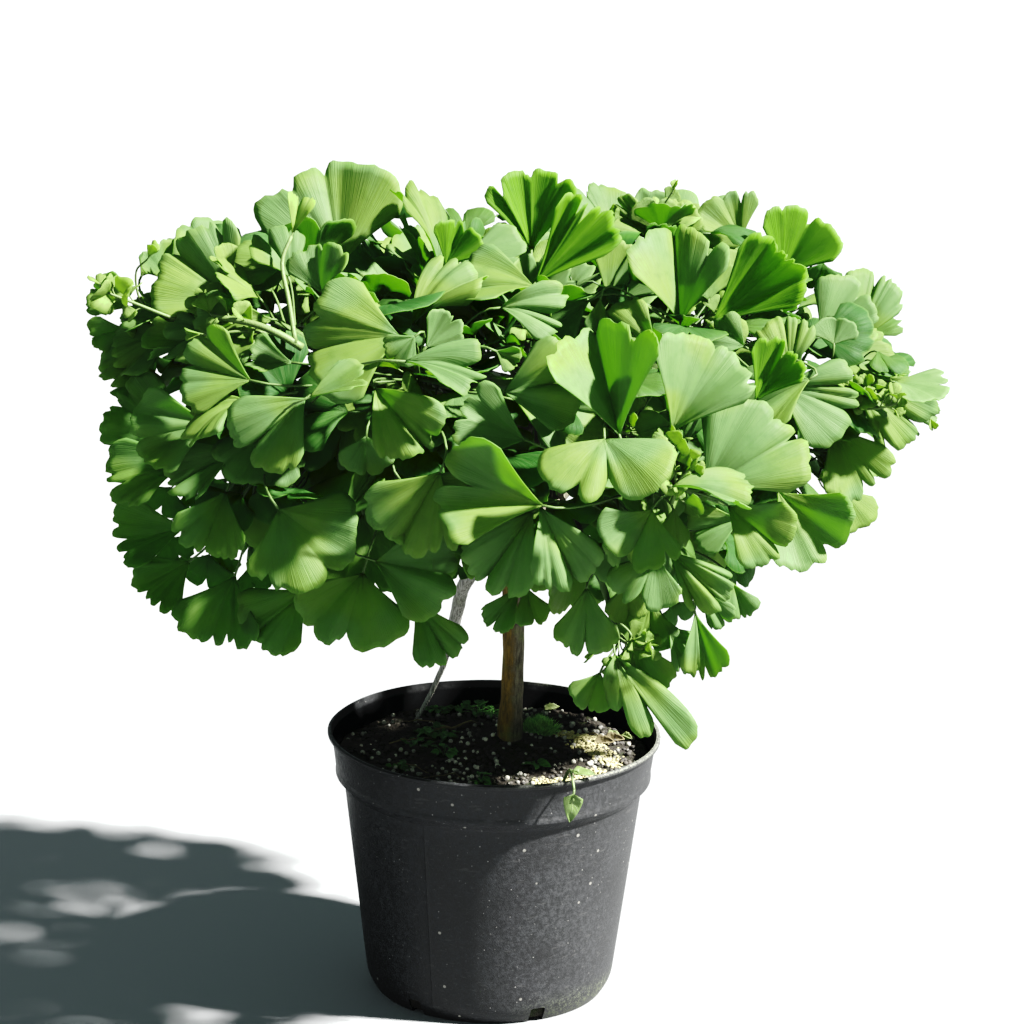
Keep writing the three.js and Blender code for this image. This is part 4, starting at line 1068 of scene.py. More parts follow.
# %% [markdown]
# ## The wood
#
# Trunk, limbs and twigs are one grown piece. The CAD model gives them a few flat sides each. Wrapping
# the same shape in a fine skin of small voxels and smoothing it rounds the stems and blends every
# fork, as growth does. Then the bark is pushed in and out by noise that is drawn out along the
# trunk, which makes shallow upright furrows. A bump map alone would leave the trunk's edge straight.

# %% A fine skin for a CAD piece
def apply_modifiers(piece):
    """The piece keeps the mesh that its modifiers make, without materials."""
    made = bpy.data.meshes.new_from_object(piece.evaluated_get(bpy.context.evaluated_depsgraph_get()))
    piece.modifiers.clear()
    piece.data = made
    made.materials.clear()
    return made


def skin_over(node, name, voxel, shape):
    """A fine skin over a CAD piece. `shape` gives each point's push along its normal."""
    piece = add_object(name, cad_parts[node].data.copy())
    wrap = piece.modifiers.new("wrap", "REMESH")
    wrap.mode, wrap.voxel_size = "VOXEL", voxel * MM
    rounding = piece.modifiers.new("rounding", "SMOOTH")
    rounding.factor, rounding.iterations = 0.5, 4
    fine = apply_modifiers(piece)
    fine.name = name
    fine.polygons.foreach_set("use_smooth", [True] * len(fine.polygons))
    pushed = [v.co + v.normal * shape(v.co / MM) * MM for v in fine.vertices]
    fine.vertices.foreach_set("co", np.array(pushed).ravel())
    fine.update()
    return piece


# %% Bark
def furrows(spot):
    """Bark relief in millimetres: upright furrows on the trunk, fainter on the limbs."""
    away = Vector((spot.x * 0.42, spot.y * 0.42, spot.z * 0.055))
    coarse = noise.noise(away) + 0.5 * noise.noise(away * 2.3)
    lumps = noise.noise(spot * 0.06)
    depth = 0.45 if spot.z < 300 else 0.25
    return 0.35 + depth * coarse + 0.5 * lumps


def bark_finish():
    r = Recipe("young_bark")
    streaks = r.clouds(r.place((1.5, 1.5, 9)), 1.0, 6, 0.7)
    patches = r.specks(16)
    fine = r.specks(0.9, 2)
    pores = r.cells(r.place((2.6, 2.6, 1.5)))
    streaky = r.fade(streaks, 0.3, 0.7)
    brown = r.blend(streaky, (0.18, 0.125, 0.03), (0.07, 0.052, 0.018))
    grey = r.blend(streaky, (0.038, 0.034, 0.024), (0.13, 0.12, 0.09))
    x, _, _ = r.parts("XYZ", r.place())
    colour = r.layers(
        brown,
        (r.fade(r.plus(x, r.times(patches, 9)), 13, 19), grey),
        (r.fade(fine, 0.6, 0.72, 0, 0.4), (0.16, 0.14, 0.08)),
        (r.fade(pores, 0.2, 0.08, 0, 0.55), (0.17, 0.145, 0.09)),
        (r.fade(patches, 0.52, 0.7, 0, 0.35), (0.12, 0.16, 0.05)),
    )
    height = r.plus(streaks, r.plus(fine, r.fade(pores, 0.22, 0.1, 0, 0.5)))
    return r.coat(Base_Color=colour, Roughness=0.85, Specular_IOR_Level=0.3, Normal=r.bump(height, 0.9))


wood = skin_over("trunk", "living_wood", 1.75, furrows)
wood.data.materials.append(bark_finish())
settle(wood, "bark", "trunk")

# %% [markdown]
# The dead leader is weathered to silver-grey. Its bark is gone, so the relief is a fine grain that
# runs along the wood. Its lower end has rotted thin.

# %% Dead leader
def grain(spot):
    """Relief in millimetres, and the thin lower end, where the outer wood has rotted away."""
    along = Vector((spot.x, spot.y, spot.z * 0.12))
    lost = 0.4 * (1.3 + 0.0345 * (spot.z - 163)) * min(max((234 - spot.z) / 20, 0), 1)
    relief = 0.25 + 0.3 * noise.noise(along * 0.9) + 0.35 * noise.noise(spot * 0.11)
    return (relief * 0.5 if lost > 0 else relief) - lost


def dead_wood_finish():
    r = Recipe("weathered_wood")
    lines = r.clouds(r.place((0.8, 0.8, 14)), 1.0, 4, 0.7)
    colour = r.blend(r.fade(lines, 0.35, 0.65), (0.09, 0.09, 0.08), (0.34, 0.34, 0.31))
    colour = r.blend(r.fade(r.specks(11), 0.5, 0.7, 0, 0.5), colour, (0.1, 0.11, 0.07))
    return r.coat(Base_Color=colour, Roughness=0.9, Normal=r.bump(lines, 0.6))


leader = skin_over("dead_branch", "dead_leader", 0.6, grain)
leader.data.materials.append(dead_wood_finish())
settle(leader, "dead_wood", "dead_branch")

# %% [markdown]
# ## The container
#
# A nursery container is thin blown plastic: a plain tapered side, a slightly wider band under the
# rolled lip, a heel, and drain notches cut through the heel. The CAD container has flat sides, so
# it is turned again here with many more. Its radii and heights are read from the CAD container's
# own rings of corners. The notches are cut by a boolean, because their edges have to be crisp.

# %% The container's rings
def rings_of(node):
    """Radius and height of every ring of corners, from the foot up; a notch's corners are too few."""
    spots, _ = corners_of(node)
    radius, height = np.hypot(spots[:, 0], spots[:, 1]), spots[:, 2]
    pairs, counts = np.unique(np.round(np.stack([height, radius], axis=1), 1), axis=0, return_counts=True)
    return [(float(r), float(h)) for (h, r), count in zip(pairs, counts) if count > 12]


rings = rings_of("pot")
levels = {h: [ring for ring in rings if ring[1] == h] for h in sorted({h for _, h in rings})}
WALL, FLOOR, LIP_HEIGHT = 2.0, 3.0, max(levels)
outside = [max(level) for h, level in levels.items() if h != FLOOR]
inside = [min(level) for level in levels.values() if len(level) > 1]
print("outside rings:", outside)
print("inside rings:", inside)


# %% Turning the container
def eased(profile, cuts):
    """The profile with rounded corners; a cut says how far from a corner its rounding starts."""
    out = [np.array(profile[0], float)]
    cuts = np.broadcast_to(cuts, len(profile))
    for before, corner, after, cut in zip(profile, profile[1:], profile[2:], cuts[1:]):
        before, corner, after = (np.array(p, float) for p in (before, corner, after))
        reach = min(cut, 0.45 * norm(corner - before), 0.45 * norm(after - corner))
        a, b = corner + reach * unit(before - corner), corner + reach * unit(after - corner)
        for t in np.linspace(0, 1, 4):
            out.append((1 - t) ** 2 * a + 2 * t * (1 - t) * corner + t**2 * b)
    out.append(np.array(profile[-1], float))
    return np.array(out)


def finely(profile, step):
    """More points on long straight stretches, so that the side can sag and swell."""
    out = [profile[0]]
    for a, b in zip(profile, profile[1:]):
        count = max(1, int(norm(b - a) / step))
        out += [a + (b - a) * k / count for k in range(1, count + 1)]
    return np.array(out)


POT_SIDES = 180
HEEL_CUT, CORNER_CUT, INNER_CUT = 6, 0.9, 1.2  # the heel bends gently, the other corners are tight
LONGEST_STEP = 9  # between two points of the profile
BULGE_OUT_FROM = 60  # radius beyond which the wall may stand out of true
SEAM_BEARING, SEAM_WIDTH = radians(-26), 0.006  # of the mould, in radians
SEAM_FOOT, SEAM_TOP = 9, 140


def pot_push(turn, height):
    """How far the thin wall stands out of true, and the mould's seam, in millimetres."""
    free = np.clip(height / LIP_HEIGHT, 0, 1) ** 2
    oval = 0.7 * np.sin(2 * turn + 0.6) + 0.35 * np.sin(3 * turn + 2) + 0.2 * np.sin(7 * turn)
    seam = 0.35 * np.exp(-(((turn - SEAM_BEARING) / SEAM_WIDTH) ** 2))
    return free * oval + seam * (height < SEAM_TOP) * (height > SEAM_FOOT)


def turned(profile):
    """The container's skin: the profile, which starts and ends on the axis, turned round it."""
    turn = np.linspace(-pi, pi, POT_SIDES, endpoint=False)
    turn = np.sort(np.append(turn, SEAM_BEARING + SEAM_WIDTH * np.array([-2, -1, 0, 1, 2])))
    rows, width = profile[1:-1], len(turn)
    radius = rows[:, :1] + pot_push(turn[None, :], rows[:, 1:]) * (rows[:, :1] > BULGE_OUT_FROM)
    points = np.stack([radius * np.sin(turn), -radius * np.cos(turn), rows[:, 1:] + 0 * radius], axis=-1)
    points = np.concatenate([points.reshape(-1, 3), [[0, 0, profile[0][1]], [0, 0, profile[-1][1]]]])
    faces = ring_faces(len(rows), width)
    low, high, end = len(points) - 2, len(points) - 1, (len(rows) - 1) * width
    faces += [(low, (j + 1) % width, j) for j in range(width)]
    faces += [(high, end + j, end + (j + 1) % width) for j in range(width)]
    return points, faces


step = outside.index(max(outside[:4]))
ridge = [tuple(np.add(outside[step], move)) for move in ((0.75, 0.7), (0.9, 3.2), (0.55, 5))]
outer = [(0, 0), *outside[: step + 1], *ridge, *outside[step + 1 :]]
(heel, _), (low_side, low_height) = outside[1:3]
outer = eased(outer, [HEEL_CUT if ring == outside[1] else CORNER_CUT for ring in outer])
inner = inside[::-1]
lip_edge = [outer[-1] - (0, 0.8), outer[-1] - (1.0, 0), np.array(inner[0]) + (0.8, 0)]
wall_foot = [(low_side - WALL, low_height), (heel - WALL, FLOOR + 6), (heel - WALL - 2, FLOOR)]
inner = eased([*inner, *wall_foot, (0, FLOOR)], INNER_CUT)
profile = finely(np.array([*outer[:-1], *lip_edge, *inner[1:]]), LONGEST_STEP)
pot_form = Sculpture()
pot_form.add(*turned(profile))
pot = pot_form.object("container")

# %% Drain notches
NOTCHES, NOTCH_WIDTH, NOTCH_HEIGHT, NOTCH_CORNER = 6, 10, 11, 1.6
NOTCH_FROM, NOTCH_TO = 72, 98  # radii between which a cutter reaches
NOTCH_BEARING = radians(-36.5)


def notch_cutter(bearing):
    """A block with rounded upper corners that reaches through the heel."""
    half, soft = NOTCH_WIDTH / 2, NOTCH_CORNER
    right_side = [
        (half - soft + soft * cos(a), NOTCH_HEIGHT - soft + soft * sin(a))
        for a in np.linspace(0, pi / 2, 5)
    ]
    outline = [(half, -5), *right_side, *((-x, z) for x, z in reversed(right_side)), (-half, -5)]
    across = np.array([cos(bearing), sin(bearing), 0])
    out = np.array([sin(bearing), -cos(bearing), 0])
    rows = [[across * x + out * away + (0, 0, z) for x, z in outline] for away in (NOTCH_FROM, NOTCH_TO)]
    n = len(outline)
    return np.concatenate(rows), ring_faces(2, n) + end_caps(2, n)


cutter_form = Sculpture()
for k in range(NOTCHES):
    cutter_form.add(*notch_cutter(NOTCH_BEARING + k * 2 * pi / NOTCHES))
cutter = cutter_form.object("notch_cutter")
cut = pot.modifiers.new("notches", "BOOLEAN")
cut.operation, cut.object, cut.solver = "DIFFERENCE", cutter, "EXACT"
cut_mesh = apply_modifiers(pot)
bpy.data.objects.remove(cutter)
cut_mesh.set_sharp_from_angle(angle=radians(38))
print("container:", len(cut_mesh.polygons), "faces")

# %% [markdown]
# The plastic is black, but it has stood outdoors for a season. Dust and lime dull it to a slate grey
# and gather in countless fine specks, short scuffs and a few larger splashes. Algae and crumbs colour
# the heel at the right, and pale grit the lip's edge there, lightened further as a painted highlight.
# The inner wall is painted near black and dull, as painted shade. All of that is colour and
# roughness, so it belongs in the material.

# %% Container material
def scuffs(r, size, slope):
    """Short thin scratches that lean by `slope`; each hides in one cell of a stretched pattern."""
    scale = (1 / size, 1 / size, 4.5 / size)
    leaning = r.node("Mapping", Vector=r.place(), Rotation=(0, slope, 0), Scale=scale)
    return r.fade(r.clouds(leaning), 0.66, 0.72)


def pot_finish():
    r = Recipe("dusty_plastic")
    x, _, z = r.parts("XYZ", r.place())
    clouds = r.specks(38, 5)
    film = r.specks(3.2, 6, 0.8)
    grainy = r.specks(1.1, 3, 0.7)
    dusty = r.times(r.fade(film, 0.4, 0.66), r.fade(clouds, 0.3, 0.62, 0.35, 1))
    scratched = r.math("MAXIMUM", scuffs(r, 9, 0.5), scuffs(r, 14, -0.2))
    # dried drops: small ones in patches, and a few large splashes
    in_patches = r.times(r.fade(r.specks(7), 0.45, 0.55), r.fade(r.specks(30, 2), 0.42, 0.6))
    dots = r.times(r.fade(r.cells(r.place(), 4.2), 0.15, 0.07), in_patches)
    splashes = r.fade(r.cells(r.place(), 17), 0.08, 0.045)
    # algae on the heel at the right, and on the lip's edge at the right pale grit with a painted highlight
    algae = r.times(r.fade(x, 5, 75), r.fade(r.plus(film, grainy), 0.98, 1.14))
    algae = r.times(r.fade(z, 24, 2), algae)
    lip_grit_and_painted_highlight = r.times(r.fade(z, 174.5, 176.8), r.times(r.fade(x, -20, 70), r.fade(grainy, 0.4, 0.6)))
    # painted shade on the inner wall, where the normal points to the axis, against the place on the plan
    plan = r.place((1, 1, inf))
    facing = r.node("VectorMath", r.node("TexCoord", out=1), plan, out="Value", operation="DOT_PRODUCT")
    painted_inner_shade = r.times(r.fade(facing, 8, -8), r.fade(z, 174, 171))
    colour = r.layers(
        r.blend(clouds, (0.0046, 0.0049, 0.0053), (0.009, 0.0096, 0.0107)),
        (r.times(dusty, 0.5), (0.029, 0.031, 0.035)),
        (r.fade(grainy, 0.6, 0.74, 0, 0.5), (0.05, 0.052, 0.054)),
        (r.times(scratched, 0.2), (0.05, 0.05, 0.05)),
        (r.times(dots, 0.8), (0.15, 0.15, 0.145)),
        (r.times(splashes, 0.8), (0.17, 0.166, 0.15)),
        (r.times(algae, 0.75), (0.085, 0.1, 0.055)),
        # painted highlight: the lip's right edge lighter where the sun falls on it, over pale grit
        (r.times(lip_grit_and_painted_highlight, 0.7), (0.16, 0.17, 0.14)),
        # painted shade: the inner wall nearly black
        (r.times(painted_inner_shade, 0.92), (0.006, 0.0065, 0.007)),
    )
    shine = r.math("SUBTRACT", 0.24, r.times(painted_inner_shade, 0.22))
    rough = r.math("MAXIMUM", r.plus(0.46, r.times(dusty, 0.3)), painted_inner_shade)
    height = r.plus(film, r.plus(r.times(dots, 0.9), r.times(grainy, 0.5)))
    return r.coat(Base_Color=colour, Roughness=rough, Specular_IOR_Level=shine, Normal=r.bump(height, 0.3))


cut_mesh.materials.append(pot_finish())
settle(pot, "pot_plastic", "pot")

# %% [markdown]
# ## The potting mix
#
# The container is filled to about 15 mm below the lip with dark peat. Its surface is crumbly and
# mounds up at the trunk. A single grid of rings follows the CAD soil's height and adds crumbs by
# noise, and the same height function then seats every loose grain exactly on the surface.

# %% Height of the ground
cad_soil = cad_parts["soil"].data
cad_spots = [v.co / MM for v in cad_soil.vertices]
soil_tree = BVHTree.FromPolygons(cad_spots, [tuple(p.vertices) for p in cad_soil.polygons])
SOIL_REACH = 103.6  # inner radius of the container at the soil's level, less a hair
MOUND_HEIGHT = 166.5  # of the soil at the trunk, whose hole the CAD soil leaves open


def ground(x, y):
    """Height of the soil in millimetres, crumbs and all."""
    shrink = min(1, 100 / max(1, hypot(x, y)))
    hit = soil_tree.ray_cast(Vector((x * shrink, y * shrink, 400)), Vector((0, 0, -1)))[0]
    away = from_trunk(x, y)
    base = MOUND_HEIGHT if hit is None or away < 16 else hit.z
    base += 2.2 * exp(-((away / 13) ** 2))
    spot = Vector((x, y, 0))
    crumbs = 1.5 * noise.noise(spot / 8) + 1.1 * noise.noise(spot / 3.4) + 0.6 * noise.noise(spot / 1.7)
    return base + crumbs


# %% Soil piece
SOIL_SIDES, SOIL_RINGS = 220, 46


def soil_ring(radius):
    turn = np.linspace(0, 2 * pi, SOIL_SIDES, endpoint=False)
    return [(radius * cos(a), radius * sin(a)) for a in turn]


soil_points = []
for k in range(SOIL_RINGS):
    radius = SOIL_REACH * ((k + 0.4) / (SOIL_RINGS - 0.6)) ** 0.9
    soil_points += [(x, y, ground(x, y)) for x, y in soil_ring(radius)]
for radius, height in wall_foot:
    soil_points += [(x, y, max(height, FLOOR + 0.3)) for x, y in soil_ring(radius - 0.4)]
soil_rows = SOIL_RINGS + len(wall_foot)
soil_faces = ring_faces(soil_rows, SOIL_SIDES, flip=True) + end_caps(soil_rows, SOIL_SIDES, flip=True)


def peat_finish():
    r = Recipe("dark_peat")
    crumbs = r.specks(2.2, 6, 0.7)
    colour = r.blend(r.fade(crumbs, 0.35, 0.7), (0.007, 0.0064, 0.0052), (0.022, 0.019, 0.015))
    colour = r.blend(r.fade(r.specks(14), 0.5, 0.72, 0, 0.6), colour, (0.021, 0.03, 0.012))
    return r.coat(Base_Color=colour, Roughness=0.95, Specular_IOR_Level=0.2, Normal=r.bump(crumbs, 2.0))


mix_form = Sculpture()
mix_form.add(soil_points, soil_faces)
settle(mix_form.object("potting_mix", peat_finish()), "soil", "soil")

# %% [markdown]
# ## Grains, crumbs and flakes
#
# Real potting mix is full of small things: round pale grains of perlite and feed, crumbs of peat,
# and dry flakes that fell from plants. Each is a rough little stone, made from a few faces whose
# corners are pushed about. They could be scattered as instances, but a reusable part should carry
# them as real geometry.

# %% Loose grains
def ball_of(fineness):
    """Corners and faces of a ball of triangles."""
    ball = bmesh.new()
    bmesh.ops.create_icosphere(ball, subdivisions=fineness, radius=1)
    corners = np.array([v.co for v in ball.verts])
    faces = [tuple(v.index for v in f.verts) for f in ball.faces]
    ball.free()
    return corners, faces


CHIP, BEAD = ball_of(1), ball_of(2)


def add_grain(form, x, y, size, dice, tint, flat=1.0, lift=0.3, height=None, ball=CHIP, rough=0.2):
    """A rough little stone on the ground, or at a given height."""
    corners, faces = ball
    stone = corners * dice.uniform(1 - rough, 1 + rough, (len(corners), 1)) * (size, size, size * flat)
    tilt = Matrix.Rotation(dice.uniform(0, 6.28), 3, "Z") @ Matrix.Rotation(dice.uniform(-0.5, 0.5), 3, "X")
    base = ground(x, y) if height is None else height
    points = stone @ np.array(tilt).T + (x, y, base + size * flat * lift)
    form.add(points, faces, (tint, dice.random(), 0, 0))


GRAIN_REACH = SOIL_REACH - 3


def on_soil(dice, keep=GRAIN_REACH):
    """A random place on the soil, clear of the trunk."""
    while True:
        away, turn = keep * sqrt(dice.random()), dice.uniform(0, 2 * pi)
        x, y = away * cos(turn), away * sin(turn)
        if from_trunk(x, y) > 11:
            return x, y


def grain_finish(name, dark, light, rough=0.8):
    r = Recipe(name)
    tone, *_ = r.tint()
    cloud = r.specks(1.6)
    colour = r.blend(r.fade(cloud, 0.45, 0.7, 0, 0.4), r.blend(tone, dark, light), dark)
    return r.coat(Base_Color=colour, Roughness=rough, Normal=r.bump(cloud, 0.3))


dice = np.random.default_rng(21)
BEADS, CRUMBS, CLUSTERS = 420, 1400, 9
grit_form, crumb_form = Sculpture(), Sculpture()
clusters = [on_soil(dice, 90) for _ in range(CLUSTERS)]
for k in range(BEADS):
    x, y = on_soil(dice)
    if k % 2:
        x, y = np.array(clusters[k % CLUSTERS]) + dice.normal(0, 9, 2)
    if hypot(x, y) < GRAIN_REACH and from_trunk(x, y) > 10:
        tone, size = dice.random() ** 1.5, dice.uniform(0.8, 1.75)
        add_grain(grit_form, x, y, size, dice, tone, lift=0.5, ball=BEAD, rough=0.04)
for _ in range(CRUMBS):
    x, y = on_soil(dice)
    add_grain(crumb_form, x, y, dice.uniform(0.6, 2.2), dice, dice.random() ** 2, flat=0.7)
bead_finish = grain_finish("feed_beads", (0.11, 0.11, 0.1), (0.37, 0.36, 0.31), 0.6)
settle(grit_form.object("feed_beads", bead_finish), "soil")
crumb_finish = grain_finish("peat_crumbs", (0.008, 0.007, 0.0056), (0.034, 0.029, 0.021))
settle(crumb_form.object("peat_crumbs", crumb_finish), "soil")

# %% [markdown]
# ## Moss and weeds
#
# A cushion of moss grows against the trunk's foot, and small weeds spread to its left. Moss is a
# crowd of fine pointed threads over a soft dome. Each thread is a thin tapering tube, because a
# textured dome alone would keep a smooth edge. Weeds are rosettes of little rounded leaves.

# %% Moss cushion
def box_of(node):
    """The lowest and the highest corner of the box round a node."""
    spots, _ = corners_of(node)
    return spots.min(axis=0), spots.max(axis=0)


THREADS = 1400
DOME_ROWS, DOME_SIDES = 9, 40
moss_low, moss_high = box_of("moss_clump")
moss_middle, moss_half = (moss_low + moss_high) / 2, (moss_high - moss_low) / 2
dice = np.random.default_rng(31)
dome = []
for i in range(DOME_ROWS):
    tilt = pi / 2 * (1 - i / (DOME_ROWS - 0.8))
    aside, high = sin(tilt), cos(tilt)
    for j in range(DOME_SIDES):
        turn = 2 * pi * j / DOME_SIDES
        x = moss_middle[0] + 0.95 * moss_half[0] * aside * cos(turn)
        y = moss_middle[1] + 0.95 * moss_half[1] * aside * sin(turn)
        lumps = 0.8 * noise.noise(Vector((x, y, high * 9)) / 3)
        dome.append((x, y, moss_low[2] - 0.6 + high * (moss_high[2] - moss_low[2] + 2.5) + lumps))
dome = np.array(dome)
moss_form = Sculpture()
moss_form.add(dome, ring_faces(DOME_ROWS, DOME_SIDES) + end_caps(DOME_ROWS, DOME_SIDES), (0.1, 0, 0, 0))
for _ in range(THREADS):
    foot = dome[dice.integers(len(dome))] + dice.normal(0, 0.7, 3)
    lean = unit((foot - (*moss_middle[:2], moss_low[2] - 4)) + dice.normal(0, 3.5, 3) + (0, 0, 5))
    tall = dice.uniform(2.5, 7.5)
    droop = np.array([0, 0, -0.5]) * tall * dice.random()
    path = [foot - lean * 0.5, foot + lean * tall * 0.55, foot + lean * tall + droop]
    moss_form.tube(path, [0.28, 0.2, 0.05], 3, (dice.random() ** 2, 0, 0, 0))
moss_finish = grain_finish("moss_threads", (0.14, 0.28, 0.1), (0.38, 0.6, 0.22), 0.9)
settle(moss_form.object("moss_cushion", moss_finish), "moss", "moss_clump")

# %% A small leaf
LITTLE_ROWS, LITTLE_COLUMNS = 11, 9
LITTLE_THICK = 0.22


def add_little_leaf(form, base, axis, face, reach, width, dice, tone, cup=0.15, heart=0.0, lobes=0.0):
    """A closed little blade: rows run from base to tip, columns from edge to edge."""
    axis = unit(axis)
    face = unit(np.asarray(face, float) - axis * axis.dot(face))
    side = np.cross(axis, face)
    t = np.linspace(0, 1, LITTLE_ROWS)[:, None]
    s = np.linspace(-1, 1, LITTLE_COLUMNS)[None, :]
    shape = np.sin(pi * np.clip(t, 0, 1) ** (0.62 - 0.25 * heart)) ** 0.75
    shape = shape * (1 + lobes * np.sin(9 * pi * t))
    along = t * reach - heart * 0.2 * reach * (1 - t) ** 4 * np.abs(s) ** 1.5
    across = s * shape * width / 2
    height = cup * width * (np.abs(s) ** 1.4 - 0.5) * shape - 0.16 * reach * t**2
    height = height + 0.03 * reach * np.sin(9 * t + 2.3 * s + dice.uniform(0, 6))
    middle = base + along[..., None] * axis + across[..., None] * side + height[..., None] * face
    normal = unit(np.cross(np.gradient(middle, axis=0), np.gradient(middle, axis=1) + 1e-6 * side))
    chart = np.stack(np.broadcast_arrays(s, t), axis=-1)
    add_shell(form, middle, normal * LITTLE_THICK, chart, tone, np.abs(chart[..., 0]).ravel(), flip=True)


def small_leaf_finish(name, dark, light, vein):
    """Soft leaves with a midrib and slanting side veins."""
    r = Recipe(name)
    tone, *_ = r.tint()
    x, along, _ = r.parts("XYZ", r.chart())
    aside = r.math("ABSOLUTE", x)
    wave = r.math("SINE", r.times(r.math("SUBTRACT", along, r.times(aside, 0.35)), 40))
    lines = r.math("MAXIMUM", r.fade(wave, 0.86, 1.0), r.fade(aside, 0.1, 0.02))
    mottle = r.specks(2.5)
    colour = r.blend(r.fade(mottle, 0.4, 0.7, 0, 0.35), r.blend(tone, dark, light), dark)
    colour = r.blend(r.times(lines, 0.45), colour, vein)
    return leafy(r, 0.3, r.bump(r.plus(lines, mottle), 0.15), colour, colour, Roughness=0.5)


# %% Weeds
# where each rosette stands, its spread and how many leaves it has
WEEDS = [
    (-43, 90, 9, 14), (-30, 94, 8, 12), (-12, 84, 11, 18), (-3, 80, 8, 12), (-42, 32, 11, 18),
    (-33, 24, 7, 10), (-32, -6, 8, 12), (-62, -38, 5, 6), (28, -31, 5, 6), (-8, -63, 6, 8),
    (10, -84, 4, 6), (-52, 12, 7, 10),
]
WEED_REACH = 91  # from the container's axis, so that no leaf meets the wall
weed_form = Sculpture()
dice = np.random.default_rng(41)
for x, y, spread, count in WEEDS:
    for k in range(count):
        turn = k * GOLDEN + dice.uniform(-0.3, 0.3)
        out = np.array([cos(turn), sin(turn), 0])
        away = spread * sqrt((k + 0.5) / count) * dice.uniform(0.7, 1.1)
        spot = np.array([x, y, 0]) + out * away
        spot *= min(1, WEED_REACH / hypot(*spot[:2]))
        spot[2] = ground(spot[0], spot[1]) + dice.uniform(1.2, 4.5)
        root = np.array([x, y, ground(x, y) - 1]) + out * away * 0.3
        rise = (root + spot) / 2 + (0, 0, 1.2)
        weed_form.tube([root, rise, spot], [0.35, 0.3, 0.25], 4, (0.3, 0, 0, 0))
        axis = out + dice.normal(0, 0.35, 3) * (1, 1, 0.5)
        face = np.array([0, -0.2, 1]) + dice.normal(0, 0.35, 3)
        size = dice.uniform(3.8, 7.8)
        width = size * dice.uniform(0.6, 0.85)
        add_little_leaf(weed_form, spot, axis, face, size, width, dice, dice.random(), lobes=0.13)
weed_finish = small_leaf_finish("weed_leaf", (0.032, 0.1, 0.023), (0.09, 0.22, 0.052), (0.13, 0.27, 0.08))
settle(weed_form.object("small_weeds", weed_finish), "weed_leaf")

# %% [markdown]
# ## The seedling over the lip
#
# One weed has climbed over the lip and hangs outside, with two soft heart-shaped leaves. The stem
# follows the CAD seedling's path as a round thread that thins toward its end. The two leaves get a
# notch at the base, a pointed tip, a shallow cup and veins.

# %% Seedling
SEEDLING_PATH = [(42, -66, 150), (45, -77, 167), (49, -88, 180.5), (50.5, -101, 181.5), (52, -109.5, 175)]
seedling_form = Sculpture()
stem_path = smooth_path(SEEDLING_PATH, 25)
seedling_form.tube(stem_path, np.linspace(1.15, 0.8, len(stem_path)), 8, (0.7, 0, 0, 0))
# where the stalk starts, the leaf's joint, axis, face and reach
HEARTS = [
    (SEEDLING_PATH[2], (54, -92, 181.3), (1, -0.25, 0.05), (0, -0.25, 1), 13),
    (SEEDLING_PATH[4], (51.5, -112.5, 169.5), (-0.1, -0.12, -1), (0.1, -1, 0.12), 16),
]
for root, joint, axis, face, reach in HEARTS:
    root, joint, axis = (np.array(v, float) for v in (root, joint, axis))
    stalk = bend(root, root + 0.4 * (joint - root), joint - 0.3 * axis, joint + axis, 7)
    seedling_form.tube(stalk, 0.8, 6, (0.7, 0, 0, 0))
    base, width = joint - unit(axis) * 0.5, reach * 0.78
    add_little_leaf(seedling_form, base, axis, face, reach, width, dice, 0.8, cup=0.12, heart=1)
seedling_greens = (0.06, 0.115, 0.022), (0.1, 0.165, 0.045), (0.14, 0.195, 0.085)
seedling_finish = small_leaf_finish("seedling_leaf", *seedling_greens)
settle(seedling_form.object("lip_seedling", seedling_finish), "weed_leaf", "seedling")

# %% [markdown]
# ## Dry things on the soil
#
# A dry twig and some stalks lie across the left half. At the right, dead leaves have crumbled to
# cream-coloured flakes, and a line of them follows the lip. Flakes are flat grains, so the grain
# helper makes them too.

# %% Twigs, flakes and curled leaves
# both ends of each twig on the plan, and its radius
TWIGS = [
    (-43, 33, -10, 59, 1.3), (-70, 10, -40, 22, 0.7), (-28, 44, -60, 60, 0.6),
    (-66, -30, -40, -48, 0.6), (60, 40, 78, 20, 0.8), (-20, -50, -46, -60, 0.5),
]
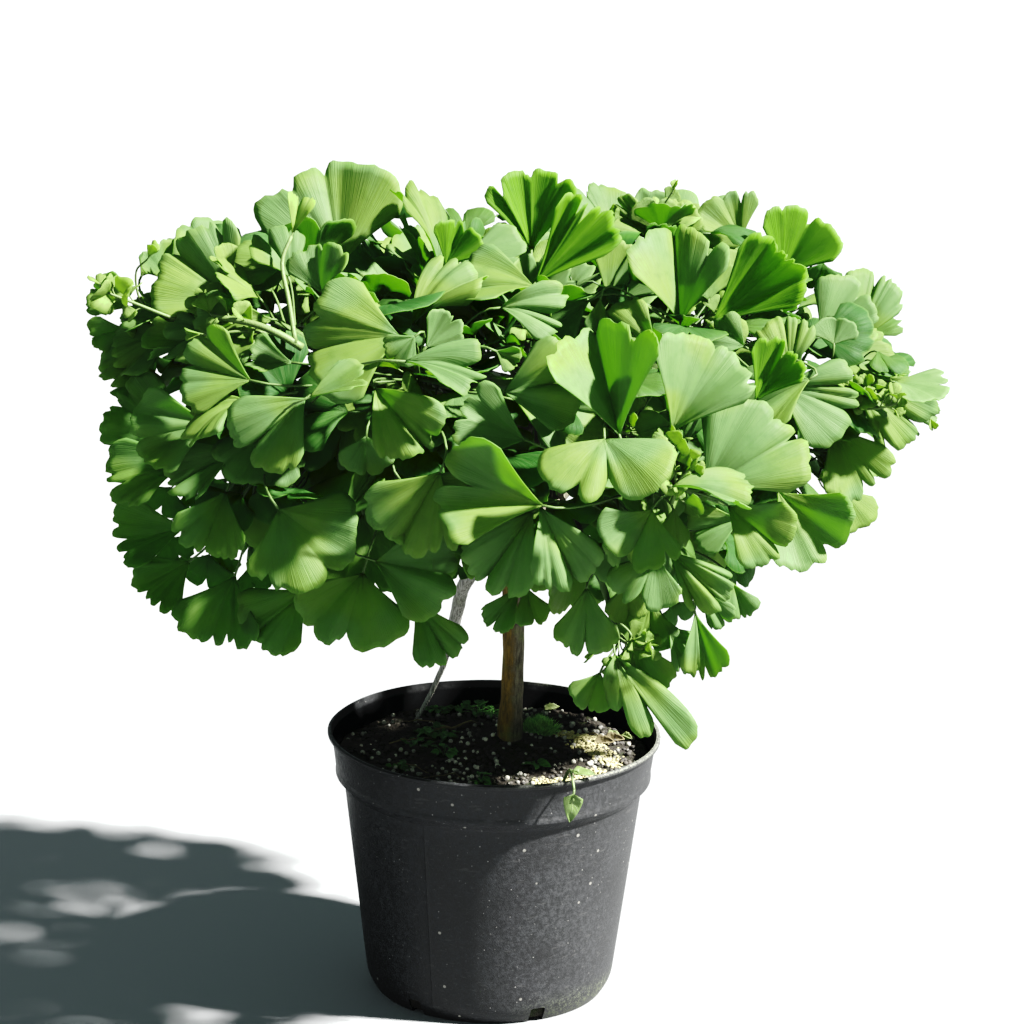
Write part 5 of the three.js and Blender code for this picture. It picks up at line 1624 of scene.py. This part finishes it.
# the middle of each heap of flakes, its spread and how many flakes it has
FLAKES = [
    (50, 35, 9, 100), (60, 31, 10, 140), (66, 16, 10, 150), (60, 14, 8, 60),
    (71, 2, 9, 130), (75, -11, 8, 110), (79, -23, 6, 70), (31, -58, 7, 60),
    (41, -60, 8, 80), (51, -55, 8, 100), (61, -45, 8, 100), (69, -38, 6, 60),
]
dry_form = Sculpture()
dice = np.random.default_rng(51)
for x0, y0, x1, y1, radius in TWIGS:
    path = []
    for t in np.linspace(0, 1, 9):
        x, y = x0 + (x1 - x0) * t + 2 * sin(5 * t), y0 + (y1 - y0) * t + 1.5 * sin(8 * t)
        path.append((x, y, ground(x, y) + radius + 3 * sin(pi * t)))
    dry_form.tube(path, radius * np.linspace(1, 0.5, 9), 6, (0.2, 0, 0, 0))
for x, y, spread, count in FLAKES:
    for _ in range(count):
        u, v = x + dice.normal(0, spread * 0.5), y + dice.normal(0, spread * 0.4)
        if hypot(u, v) < SOIL_REACH - 2:
            pile = 2.2 * exp(-((u - x) ** 2 + (v - y) ** 2) / spread**2) * dice.random()
            tone, size = 0.55 + 0.45 * dice.random(), dice.uniform(0.6, 1.7)
            add_grain(dry_form, u, v, size, dice, tone, flat=0.5, height=ground(u, v) + pile)


def above_ground(x, y, gap):
    return np.array([x, y, ground(x, y) + gap])


for x, y in ((75, 29), (68, 22)):
    spot, axis, face = above_ground(x, y, 2.5), (0.9, -0.3, 0.2), (0.3, -0.5, 0.8)
    add_little_leaf(dry_form, spot, axis, face, 13, 8, dice, 0.12, cup=0.5, lobes=0.1)
dry_finish = grain_finish("dry_litter", (0.05, 0.036, 0.016), (0.35, 0.325, 0.155))
settle(dry_form.object("dry_litter", dry_finish), "soil")

CURLED_REACH = 96  # from the container's axis
curled_form = Sculpture()
for x, y, turn in ((42, 110, 0.3), (85, 37, -0.8), (80, 30, 1.5)):
    if hypot(x, y) > CURLED_REACH:
        x, y = x * CURLED_REACH / hypot(x, y), y * CURLED_REACH / hypot(x, y)
    spot, axis = above_ground(x, y, 1.5), (cos(turn), sin(turn), 0.3)
    add_little_leaf(curled_form, spot, axis, (0.2, -0.3, 1), 11, 7, dice, 0.8, cup=0.6, lobes=0.1)
curled_finish = small_leaf_finish("curled_leaf", (0.1, 0.14, 0.04), (0.2, 0.25, 0.1), (0.26, 0.29, 0.16))
settle(curled_form.object("curled_leaves", curled_finish), "weed_leaf")
